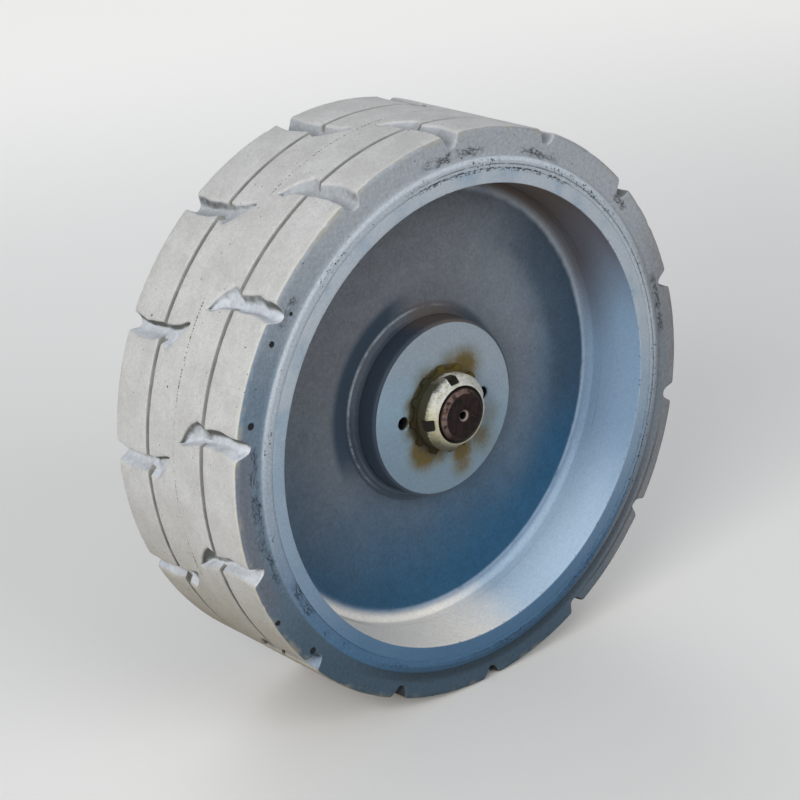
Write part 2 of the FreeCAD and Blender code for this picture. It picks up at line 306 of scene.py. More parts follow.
def turned(name: str, corners: Sequence[Corner], step: float, columns: int,
           closed: bool = True, centre: tuple[float, float] = (0.0, 0.0)) -> Piece:
    """Turns an outline round an axis along Y.

    Args:
        name: the object's name.
        corners: the outline's corners.
        step: the longest distance between two points on a straight run.
        columns: how many times the outline is repeated round the axis.
        closed: whether the outline is closed; an open one begins and ends on the axis.
        centre: the axis's x and z.

    Returns:
        The object.
    """
    points = outline(corners, step, closed)
    grid = np.ones((len(points), columns))
    angle = grid * whole_turn(columns)
    return moved(turned_grid(name, grid * points[:, :1], grid * points[:, 1:], angle, closed), *centre)


def prism(name: str, corners: Sequence[tuple[float, float]], start: float, end: float) -> Piece:
    """Extrudes an outline of (x, z) points along Y.

    Args:
        name: the object's name.
        corners: the outline's points in order.
        start: the first end.
        end: the second end.

    Returns:
        The object.
    """
    count = len(corners)
    points = [(x, y, z) for y in (start, end) for x, z in corners]
    sides = [(k, (k + 1) % count, (k + 1) % count + count, k + count) for k in range(count)]
    caps = [tuple(range(count)), tuple(range(count, 2 * count))]
    return mesh_object(name, np.array(points), sides + caps)


def bar(name: str, half: float, foot: float, top: float, start: float, end: float) -> Piece:
    """A bar along Z from its foot to its top, half of its width to each side, between two ends along Y."""
    return prism(name, [(-half, foot), (half, foot), (half, top), (-half, top)], start, end)


def ring_points(count: int, reach: float, first: float = 0.0) -> list[tuple[float, float]]:
    """The (x, z) corners of a regular polygon, its first one at an angle in degrees."""
    angles = [math.radians(first + 360.0 * k / count) for k in range(count)]
    return [(reach * math.cos(angle), reach * math.sin(angle)) for angle in angles]


def spun(piece: Piece, degrees: float) -> Piece:
    """Turns a mesh about the axle, from +X towards +Z."""
    piece.data.transform(Matrix.Rotation(math.radians(-degrees), 4, "Y"))
    return piece


def moved(piece: Piece, x: float, z: float) -> Piece:
    """Moves a mesh across the axle."""
    piece.data.transform(Matrix.Translation((x * MM, 0.0, z * MM)))
    return piece


def settle(piece: Piece) -> None:
    """Applies all modifiers of a piece to its mesh.

    Args:
        piece: the piece.
    """
    ready = piece.evaluated_get(bpy.context.evaluated_depsgraph_get())
    mesh = bpy.data.meshes.new_from_object(ready)
    piece.modifiers.clear()
    piece.data = mesh


def carve(piece: Piece, tools: Sequence[Piece],
          carving: Carving = Carving.CUT) -> None:
    """Works on a piece with tools, and deletes them.

    Args:
        piece: the piece that is changed.
        tools: closed meshes.
        carving: what the tools do.
    """
    for tool in tools:
        cut = piece.modifiers.new("carve", "BOOLEAN")
        cut.operation = carving.value
        cut.solver = "EXACT"
        cut.object = tool
    settle(piece)
    for tool in tools:
        bpy.data.objects.remove(tool)


def ease_edges(piece: Piece, width: float, segments: int = 2, limit: float = 30.0) -> None:
    """Bevels a piece's edges.

    Args:
        piece: the piece.
        width: the bevel's width.
        segments: how many faces it has across.
        limit: the angle in degrees past which an edge is bevelled.
    """
    bevel = piece.modifiers.new("edges", "BEVEL")
    bevel.width = width * MM
    bevel.segments = segments
    bevel.limit_method = "ANGLE"
    bevel.angle_limit = math.radians(limit)
    settle(piece)


def joined(name: str, pieces: Sequence[Piece]) -> Piece:
    """Puts several meshes into one object.

    Args:
        name: the new object's name.
        pieces: the objects, which are deleted.

    Returns:
        The new object.
    """
    body = bmesh.new()
    for piece in pieces:
        body.from_mesh(piece.data)
        bpy.data.objects.remove(piece)
    mesh = bpy.data.meshes.new(name)
    body.to_mesh(mesh)
    body.free()
    return placed(name, mesh)


def roughen(piece: Piece, wear: Wear) -> None:
    """Moves the surface inwards by smooth noise, as hand finishing and use leave it.

    Args:
        piece: the piece.
        wear: the dents.
    """
    normals = [vertex.normal.copy() for vertex in piece.data.vertices]
    for vertex, normal in zip(piece.data.vertices, normals):
        vertex.co -= normal * (wear.depth * MM * (0.5 + 0.5 * wear.level(vertex.co)))


def soften(piece: Piece, limit: float = 32.0) -> None:
    """Shades a piece smooth, apart from edges sharper than a limit in degrees."""
    piece.data.shade_smooth()
    piece.data.set_sharp_from_angle(angle=math.radians(limit))


def install(piece: Piece, body: Body, node: str,
            finish: Material) -> None:
    """Gives a piece its finish and body, hides the CAD node that it stands for, and logs it.

    Args:
        piece: the piece.
        body: the body that it rides on.
        node: the CAD node that it stands for.
        finish: the material.
    """
    piece.data.materials.clear()
    piece.data.materials.append(finish)
    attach(piece, body.value)
    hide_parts(node)
    LOG.info("%s: %d faces, for %s", piece.name, len(piece.data.polygons), node)


def fit_out(body: Body, finish: Material, pieces: dict[str, Piece]) -> None:
    """Shades pieces that share a finish and installs them.

    Args:
        body: the body that they ride on.
        finish: their material.
        pieces: each one by its CAD node's name.
    """
    for node, piece in pieces.items():
        soften(piece)
        install(piece, body, node, finish)


# Shader maths


def arithmetic(operation: str, swapped: bool = False) -> Callable[["Wire", Value], "Wire"]:
    """Makes an operator for wires.

    Args:
        operation: the Math node's operation.
        swapped: whether the wire is the second of the two values.

    Returns:
        A method that adds the node.
    """
    def operator(wire: "Wire", other: Value) -> "Wire":
        """Adds a Math node for the wire and another value."""
        values = (other, wire) if swapped else (wire, other)
        return wire.tree.node("ShaderNodeMath", {"operation": operation}, dict(enumerate(values)))

    return operator


class Wire:
    """A shader socket's output that takes part in Python arithmetic."""

    def __init__(self, tree: "Tree", socket: bpy.types.NodeSocket) -> None:
        """Wraps an output socket of a node in a tree."""
        self.tree = tree
        self.socket = socket

    def sibling(self, output: Union[int, str]) -> "Wire":
        """Another output of the same node."""
        return Wire(self.tree, self.socket.node.outputs[output])

    __add__ = __radd__ = arithmetic("ADD")
    __sub__ = arithmetic("SUBTRACT")
    __rsub__ = arithmetic("SUBTRACT", swapped=True)
    __mul__ = __rmul__ = arithmetic("MULTIPLY")
    __truediv__ = arithmetic("DIVIDE")
    __rtruediv__ = arithmetic("DIVIDE", swapped=True)
    __pow__ = arithmetic("POWER")
    # Two masks are joined by the larger of their values, and meet in the smaller
    __or__ = __ror__ = arithmetic("MAXIMUM")
    __and__ = __rand__ = arithmetic("MINIMUM")

    def __abs__(self) -> "Wire":
        """This value without its sign."""
        return self.tree.node("ShaderNodeMath", {"operation": "ABSOLUTE"}, {0: self})

    def rise(self, low: float, high: float) -> "Wire":
        """A mask that goes smoothly from 0 at the low value to 1 at the high one."""
        return self.tree.node("ShaderNodeMapRange", {"interpolation_type": "SMOOTHSTEP"},
                                {"Value": self, "From Min": low, "From Max": high})

    def fall(self, low: float, high: float) -> "Wire":
        """A mask that goes smoothly from 1 at the low value to 0 at the high one."""
        return 1.0 - self.rise(low, high)

    def near(self, centre: float, reach: float, soft: float) -> "Wire":
        """A mask that is 1 within a reach of a value and fades out over a soft edge."""
        return abs(self - centre).fall(reach, reach + soft)


class Tree:
    """A node tree that Python expressions add nodes to."""

    def __init__(self, owner: Union[Material, bpy.types.World], ends: str) -> None:
        """Empties the tree of a material or world and gives it an output.

        Args:
            owner: the material or world.
            ends: the output node's type.
        """
        owner.use_nodes = True
        self.nodes = owner.node_tree.nodes
        self.links = owner.node_tree.links
        self.nodes.clear()
        self.ends = self.nodes.new(ends)

    def plug(self, node: bpy.types.Node, inputs: Sockets) -> None:
        """Sets or links the inputs of a node.

        Args:
            node: the node.
            inputs: a value or a wire for each socket's name or number.
        """
        for key, value in inputs.items():
            socket = node.inputs[key]
            if isinstance(value, Wire):
                self.links.new(value.socket, socket)
            elif socket.type == "RGBA":
                socket.default_value = (*value[:3], 1.0)
            else:
                socket.default_value = value

    def node(self, kind: str, settings: Optional[dict[str, object]] = None,
             inputs: Optional[Sockets] = None, output: Union[int, str] = 0) -> Wire:
        """Adds a node.

        Args:
            kind: the node's type.
            settings: its settings, which are set first.
            inputs: a value or a wire for each socket's name or number.
            output: the output that is wanted.

        Returns:
            The output as a wire.
        """
        made = self.nodes.new(kind)
        for key, value in (settings or {}).items():
            setattr(made, key, value)
        self.plug(made, inputs or {})
        return Wire(self, made.outputs[output])

    def seen(self) -> Wire:
        """1 for what the camera or a reflection meets, and 0 for the light that falls on things."""
        path = self.node("ShaderNodeLightPath", output="Is Camera Ray")
        return path | path.sibling("Is Glossy Ray") | path.sibling("Is Transmission Ray")


class Shader(Tree):
    """The node tree of one material, which ends in a Principled shader."""

    def __init__(self, name: str) -> None:
        """Starts a material and its coordinates.

        Args:
            name: the material's name.
        """
        self.material = bpy.data.materials.new(name)
        super().__init__(self.material, "ShaderNodeOutputMaterial")
        self.surface = self.nodes.new("ShaderNodeBsdfPrincipled")
        self.links.new(self.surface.outputs[0], self.ends.inputs["Surface"])
        coordinates = self.node("ShaderNodeTexCoord", output="Object")
        self.place = self.vector("SCALE", {0: coordinates, "Scale": 1.0 / MM})
        self.x = self.node("ShaderNodeSeparateXYZ", inputs={0: self.place})
        self.y = self.x.sibling(1)
        self.z = self.x.sibling(2)
        self.radius = (self.x * self.x + self.z * self.z) ** 0.5
        self.across = self.node("ShaderNodeSeparateXYZ", inputs={0: coordinates.sibling("Normal")})
        self.along = self.across.sibling(1)
        self.upward = self.across.sibling(2)
        self.outward = (self.x * self.across + self.z * self.upward) / (self.radius + 0.001)

    def vector(self, operation: str, inputs: Sockets) -> Wire:
        """Adds a Vector Math node."""
        return self.node("ShaderNodeVectorMath", {"operation": operation}, inputs)

    def mix(self, first: Value, second: Value, mask: Value) -> Wire:
        """A colour that goes from the first to the second as the mask goes from 0 to 1."""
        return self.node("ShaderNodeMix", {"data_type": "RGBA"}, {0: mask, 6: first, 7: second}, output=2)

    def shade(self, colour: Value, factor: Wire) -> Wire:
        """A colour times a grey factor."""
        return self.node("ShaderNodeMix", {"data_type": "RGBA", "blend_type": "MULTIPLY"},
                         {0: 1.0, 6: colour, 7: self.grey(factor)}, output=2)

    def grey(self, factor: Wire) -> Wire:
        """A value as a grey colour."""
        return self.node("ShaderNodeCombineColor", inputs={0: factor, 1: factor, 2: factor})

    def shifted(self, seed: float) -> Wire:
        """The place moved by a seed, so that two textures differ."""
        return self.vector("ADD", {0: self.place, 1: (seed * 37.0, seed * 53.0, seed * 71.0)})

    def noise(self, size: float, seed: float = 0.0, detail: float = 2.0, roughness: float = 0.5,
              place: Optional[Wire] = None) -> Wire:
        """Smooth noise about 0.5.

        Args:
            size: the width of a blotch in millimetres.
            seed: moves the noise.
            detail: how many finer layers it has.
            roughness: how strong they are.
            place: other coordinates than the object's.

        Returns:
            The noise's value.
        """
        return self.node("ShaderNodeTexNoise", {}, {
            "Vector": place or self.shifted(seed), "Scale": 1.0 / size, "Detail": detail,
            "Roughness": roughness})

    def sway(self, reach: float, size: float, seed: float = 0.0, detail: float = 2.0,
             roughness: float = 0.5) -> Wire:
        """Smooth noise about 0 that goes as far as a reach to either side."""
        return self.noise(size, seed, detail, roughness) * (2.0 * reach) - reach

    def point(self, x: Value, y: Value, z: Value = 0.0) -> Wire:
        """Coordinates for a texture that doesn't follow the object's."""
        return self.node("ShaderNodeCombineXYZ", inputs={0: x, 1: y, 2: z})

    def turning(self, size: float, detail: float = 2.0) -> Wire:
        """Noise in fine rings, as turning on a lathe leaves it."""
        return self.noise(size, detail=detail, place=self.point(self.radius, self.y))

    def specks(self, spacing: float, size: float, share: float, seed: float = 0.0) -> Wire:
        """Small round spots.

        Args:
            spacing: the distance between places for a spot.
            size: a spot's radius.
            share: the share of places that has one.
            seed: moves the spots.

        Returns:
            A mask that is 1 inside a spot.
        """
        cells = self.node("ShaderNodeTexVoronoi", {}, {
            "Vector": self.shifted(seed), "Scale": 1.0 / spacing})
        chance = self.node("ShaderNodeSeparateColor", inputs={0: cells.sibling("Color")})
        reach = size / spacing
        return cells.fall(reach * 0.6, reach) * chance.fall(share, share + 0.01)

    def spot(self, x: float, z: float, reach: float, soft: float,
             place: Optional[tuple[Wire, Wire]] = None) -> Wire:
        """A round mask about a line along the axle.

        Args:
            x: the line's x.
            z: its z.
            reach: the radius that is fully covered.
            soft: the width of the faded edge.
            place: other x and z than the object's.

        Returns:
            The mask.
        """
        here_x, here_z = place or (self.x, self.z)
        away = ((here_x - x) * (here_x - x) + (here_z - z) * (here_z - z)) ** 0.5
        return away.fall(reach, reach + soft)

    def bearing(self) -> Wire:
        """The bearing about the axle in degrees: 0 on the left and 90 at the bottom."""
        turn = self.node("ShaderNodeMath", {"operation": "ARCTAN2"}, {0: 0.0 - self.z, 1: 0.0 - self.x})
        return turn * math.degrees(1.0)

    def dirty_joint(self) -> Wire:
        """The bearings at which dirt shows along the joint of rubber and steel."""
        bearing = self.bearing()
        return bearing.near(-100.0, 18.0, 10.0) * 0.9 + bearing.near(140.0, 20.0, 20.0) * 0.3

    def bump(self, height: Wire) -> Wire:
        """A normal for a height in millimetres."""
        return self.node("ShaderNodeBump", {}, {"Height": height, "Distance": MM, "Strength": 1.0})

    def finished(self, inputs: Sockets) -> Material:
        """Plugs the inputs into the surface and gives the material."""
        self.plug(self.surface, inputs)
        return self.material


# Finishes


@dataclass(frozen=True)
class Blemish:
    """A round mark about a line along the axle."""

    x: float
    z: float
    reach: float
    soft: float
    strength: float = 1.0


@dataclass(frozen=True)
class Scuff:
    """A patch of scratches: its bearing and spread in degrees, and its radius and reach."""

    bearing: float
    spread: float
    radius: float
    reach: float


@dataclass(frozen=True)
class TyreRubber:
    """Pale non-marking rubber: dusty tread, painted light and shade in the notches, grimy grooves, sides
    dulled by overspray and painted shade.
    """

    tread: float
    middle: float
    half: float
    groove: float
    lip: float
    joint: float
    pale: Colour = (0.61, 0.61, 0.605)
    dull: Colour = (0.52, 0.518, 0.51)
    soiled: Colour = (0.34, 0.3, 0.225)
    cream: Colour = (0.6, 0.57, 0.45)
    # The dust shows in the notches where they face up, as painted light; the wall colour is painted shade on
    # walls that face down, and also the parting line's dots
    dust: Colour = (0.6, 0.635, 0.685)
    wall: Colour = (0.105, 0.11, 0.1)
    shallow: Colour = (0.24, 0.24, 0.225)
    grime: Colour = (0.06, 0.058, 0.058)
    black: Colour = (0.01, 0.011, 0.013)
    # The low side colour and the low lip colour are painted shade towards the bottom
    side_low_shade: Colour = (0.05, 0.083, 0.115)
    side_middle: Colour = (0.135, 0.185, 0.24)
    side_high: Colour = (0.32, 0.345, 0.375)
    side_rim: Colour = (0.2, 0.2, 0.205)
    side_worn: Colour = (0.13, 0.13, 0.15)
    notch_blue: Colour = (0.37, 0.46, 0.59)
    lip_low_shade: Colour = (0.06, 0.135, 0.235)
    lip_high: Colour = (0.38, 0.425, 0.475)
    # Pale worn rubber for the white specks; also the lip crest's painted highlight
    worn: Colour = (0.58, 0.635, 0.7)
    pits: tuple[Blemish, ...] = (
        Blemish(-153.1, 96.6, 1.5, 0.7), Blemish(-173.9, 50.8, 1.8, 0.8),
        Blemish(-137.1, 111.2, 0.9, 0.6), Blemish(-144.0, -111.0, 1.6, 1.2),
        Blemish(-168.4, -82.0, 1.3, 0.9),
    )
    scuffs: tuple[Scuff, ...] = (
        Scuff(-8.0, 4.0, 177.0, 2.0), Scuff(3.0, 8.0, 176.2, 2.8), Scuff(14.0, 5.0, 174.0, 0.8),
        Scuff(-39.0, 3.5, 178.8, 1.8), Scuff(-89.0, 8.0, 176.0, 2.0), Scuff(-114.0, 6.0, 174.8, 1.2),
        Scuff(-142.0, 3.0, 178.5, 1.2), Scuff(-170.0, 8.0, 176.0, 1.0), Scuff(26.0, 5.0, 166.0, 2.2),
    )

    def material(self) -> Material:
        """Makes the material.

        Returns:
            The material.
        """
        shader = Shader("tyre rubber")
        depth = self.tread - shader.radius
        across = abs(shader.y - self.middle)
        side = abs(shader.along).rise(0.45, 0.75) & across.rise(self.half - 2.2, self.half - 0.8)
        groove = across.near(self.groove, 1.5, 0.9) & depth.rise(0.3, 1.6) & depth.fall(4.6, 5.2)
        notch = depth.rise(0.7, 2.2) * (1.0 - side) * (1.0 - groove)
        colour = self.tread_colour(shader, across)
        # Painted light and shade in the notches: surfaces that face up, most of all at the upper left, get
        # pale dust as painted light, those that face down get the dark wall colour as painted shade, and the
        # top notches get less light as painted shade
        facing = shader.upward + shader.sway(0.3, 4.0, 3.0)
        lit_upper_left = (shader.z - shader.x).rise(0.0, 60.0) * 0.85 + 0.15
        lit = facing.rise(-0.55, 0.25) * lit_upper_left * (1.0 - shader.z.rise(100.0, 170.0) * 0.35)
        dusty = shader.shade(self.dust, shader.noise(3.0, 4.0, 4.0, 0.65) * 0.7 + 0.62)
        inside = shader.mix(self.wall, dusty, lit)
        # Painted shade at the lower notch ends: their blue overspray goes from dark where they face down to
        # pale where they face up
        end = across.rise(self.half - 14.0, self.half - 4.0) * shader.z.fall(-115.0, -60.0)
        inside = shader.mix(inside, shader.mix(self.side_low_shade, self.notch_blue, facing.rise(-0.4, 0.9)), end)
        # Painted shadow: the notches near the floor are near black
        inside = shader.mix(inside, self.black, shader.z.fall(-176.0, -145.0) * 0.85)
        colour = shader.mix(colour, inside, notch * 0.97)
        low = (shader.sway(30.0, 30.0, 26.0, 3.0) - shader.z).rise(-20.0, 110.0)
        dirt = groove * (shader.noise(16.0, 6.0, 3.0).rise(0.3, 0.6) * 0.3 + 0.65)
        colour = shader.mix(colour, shader.mix(self.shallow, self.grime, low), dirt)
        colour = shader.mix(colour, self.side_colour(shader), side)
        grain = shader.noise(1.4, 2.0, 3.0, 0.7) * 0.34 + shader.noise(6.0, 3.0, 3.0) * 0.34
        hollow = self.hollows(shader, side)
        colour = shader.mix(colour, self.black, hollow)
        return shader.finished({
            "Base Color": colour,
            "Roughness": 0.92 - side * 0.22,
            "Normal": shader.bump(grain - hollow * 1.2),
            "Specular IOR Level": 0.2,
        })

    def tread_colour(self, shader: Shader, across: Wire) -> Wire:
        """The worn tread, with its cream edges, pinholes and parting line.

        Args:
            shader: the material's shader.
            across: the distance from the middle plane.

        Returns:
            The colour.
        """
        blotches = shader.noise(24.0, 1.0, 5.0, 0.65).rise(0.3, 0.7)
        colour = shader.mix(self.dull, self.pale, blotches)
        soil = (shader.sway(30.0, 40.0, 19.0, 3.0) - shader.z).rise(0.0, 150.0)
        colour = shader.mix(colour, self.soiled, soil * 0.8)
        grain = shader.noise(0.9, 5.0, 2.0, 0.6) * 0.4 + shader.noise(2.2, 29.0, 4.0, 0.8) * 0.5
        colour = shader.shade(colour, grain + 0.55)
        patchy = shader.noise(11.0, 20.0, 4.0, 0.6).rise(0.36, 0.6)
        worn = across.rise(self.half - 3.4, self.half - 1.0) * patchy
        edge = shader.mix(self.cream, self.soiled, soil)
        colour = shader.mix(colour, edge, worn * 0.7)
        dots = shader.point(shader.x, 0.0, shader.z)
        parting = across.fall(0.3, 0.75) * shader.noise(1.1, 8.0, 0.0, place=dots).rise(0.5, 0.56)
        colour = shader.mix(colour, self.wall, parting * shader.noise(60.0, 21.0).rise(0.4, 0.55) * 0.9)
        colour = shader.mix(colour, self.worn, shader.specks(6.0, 0.6, 0.16, 22.0) * 0.8)
        marks = shader.specks(4.5, 0.55, 0.22, 9.0) | shader.specks(17.0, 1.0, 0.35, 10.0)
        return shader.mix(colour, self.black, marks * 0.75)

    def side_colour(self, shader: Shader) -> Wire:
        """The side: bluish overspray, darker below as painted shade, greyer above and to the right, painted
        at the lip, with a painted shadow at the lip's foot below and a painted highlight on its crest.

        Args:
            shader: the material's shader.

        Returns:
            The colour.
        """
        sway = shader.sway(30.0, 50.0, 11.0, 3.0)
        height = shader.z + shader.x * 0.25 + sway
        # Painted shade: darker towards the bottom
        colour = shader.mix(self.side_low_shade, self.side_middle, height.rise(-170.0, -40.0))
        colour = shader.mix(colour, self.side_high, height.rise(10.0, 150.0))
        outer = shader.radius.rise(self.lip + 3.0, self.lip + 12.0) * 0.5 + 0.35
        right = ((shader.x - shader.z * 0.27) / shader.radius + sway * 0.003).rise(0.62, 0.98)
        colour = shader.mix(colour, self.side_rim, right * outer)
        bearing = shader.bearing()
        left = (bearing + sway * 0.2).near(5.0, 12.0, 12.0)
        rubbed = shader.radius.rise(self.lip + 5.0, self.lip + 11.0) * left
        colour = shader.mix(colour, self.side_worn, rubbed * 0.6)
        # Painted shadow: a dark band round the lip's foot at the bottom; also a thin dark line at the lower
        # right
        below = bearing.near(105.0, 35.0, 25.0)
        foot = shader.radius.near(self.lip + 1.0, 3.0, 5.0) * below
        dark_line = shader.radius.near(self.lip + 10.0, 0.4, 1.2) * bearing.near(140.0, 12.0, 14.0)
        colour = shader.mix(colour, self.black, foot * 0.5 | dark_line * 0.5)
        colour = shader.shade(colour, shader.noise(2.6, 12.0, 4.0, 0.75) * 1.0 + 0.5)
        scuff = shader.noise(9.0, 23.0, 5.0, 0.7).rise(0.54, 0.74) * height.rise(-90.0, 60.0)
        colour = shader.mix(colour, self.side_high, scuff * 0.3)
        patchy = shader.noise(12.0, 13.0, 3.0).rise(0.45, 0.65)
        edge = shader.radius.rise(self.tread - 5.6, self.tread - 1.6) * patchy
        colour = shader.mix(colour, self.soiled, edge * 0.45)
        lip = shader.radius.fall(self.lip - 0.4, self.lip + 1.2)
        # Painted shade: the painted lip is darker towards the bottom
        upper = (shader.z + shader.x * 0.08 + sway * 0.7).rise(-140.0, 60.0)
        painted = shader.mix(self.lip_low_shade, self.lip_high, upper)
        # Painted shadow at the bottom of the painted lip
        painted = shader.mix(painted, self.black, shader.radius.near(self.lip - 1.0, 1.2, 2.5) * below * 0.4)
        brink = shader.radius.rise(self.lip - 3.5, self.lip - 1.0)
        painted = shader.mix(painted, self.side_rim, right * brink * 0.8)
        painted = shader.shade(painted, shader.noise(1.8, 24.0, 3.0, 0.7) * 0.8 + 0.6)
        colour = shader.mix(colour, painted, lip)
        # Painted highlight, broken like worn paint, along the lip's crest at the upper left
        rough = shader.noise(2.2, 14.0, 4.0, 0.7).rise(0.36, 0.6) * 0.6 + 0.4
        crest_highlight = shader.radius.near(self.lip - 1.3, 0.6, 1.3) * bearing.near(-72.0, 40.0, 40.0)
        colour = shader.mix(colour, self.worn, crest_highlight * rough * 0.85)
        seam = shader.radius.near(self.joint + 2.8, 0.1, 0.7) * shader.noise(6.0, 25.0, 3.0).rise(0.3, 0.5)
        return shader.mix(colour, self.black, seam * shader.x.rise(-60.0, 0.0) * 0.6)

    def strokes(self, shader: Shader) -> Wire:
        """A mask of fine scrapes, which follow the side round.

        Args:
            shader: the material's shader.

        Returns:
            The mask.
        """
        round_side = shader.bearing() * math.radians(self.lip)
        place = shader.point(round_side * 0.34 - shader.radius * 0.2, shader.radius)
        return shader.noise(1.0, 16.0, 4.0, 0.75, place).rise(0.46, 0.62)

    def hollows(self, shader: Shader, side: Wire) -> Wire:
        """A mask of the pits in the side: patches of scratches, small pinholes and a few large ones.

        Args:
            shader: the material's shader.
            side: the mask of the tyre's side.

        Returns:
            The mask.
        """
        bearing = shader.bearing()
        ragged = shader.radius + shader.sway(3.5, 5.0, 29.0, 3.0)
        patches: Value = 0.0
        for scuff in self.scuffs:
            within = bearing.near(scuff.bearing, scuff.spread * 0.5, scuff.spread * 0.7)
            patches |= within * ragged.near(scuff.radius, scuff.reach * 0.7, 2.4)
        patches *= shader.y.fall(self.middle - 10.0, self.middle)
        scratched = patches * self.strokes(shader) * shader.noise(9.0, 28.0, 3.0).rise(0.3, 0.6) * 0.75
        joint = shader.radius.near(self.joint, 0.4, 0.5) * shader.noise(2.2, 17.0, 3.0).rise(0.46, 0.56)
        bites = shader.radius.near(self.lip - 3.6, 1.6, 1.6) * shader.noise(40.0, 27.0, 3.0).rise(0.5, 0.62)
        bites *= shader.noise(1.6, 30.0, 3.0, 0.6).rise(0.6, 0.66)
        holes = scratched | joint * shader.dirty_joint() | bites | shader.specks(6.0, 0.5, 0.35, 18.0) * 0.8
        for pit in self.pits:
            holes |= shader.spot(pit.x, pit.z, pit.reach, pit.soft) * shader.y.fall(-80.0, -70.0)
        return holes * side


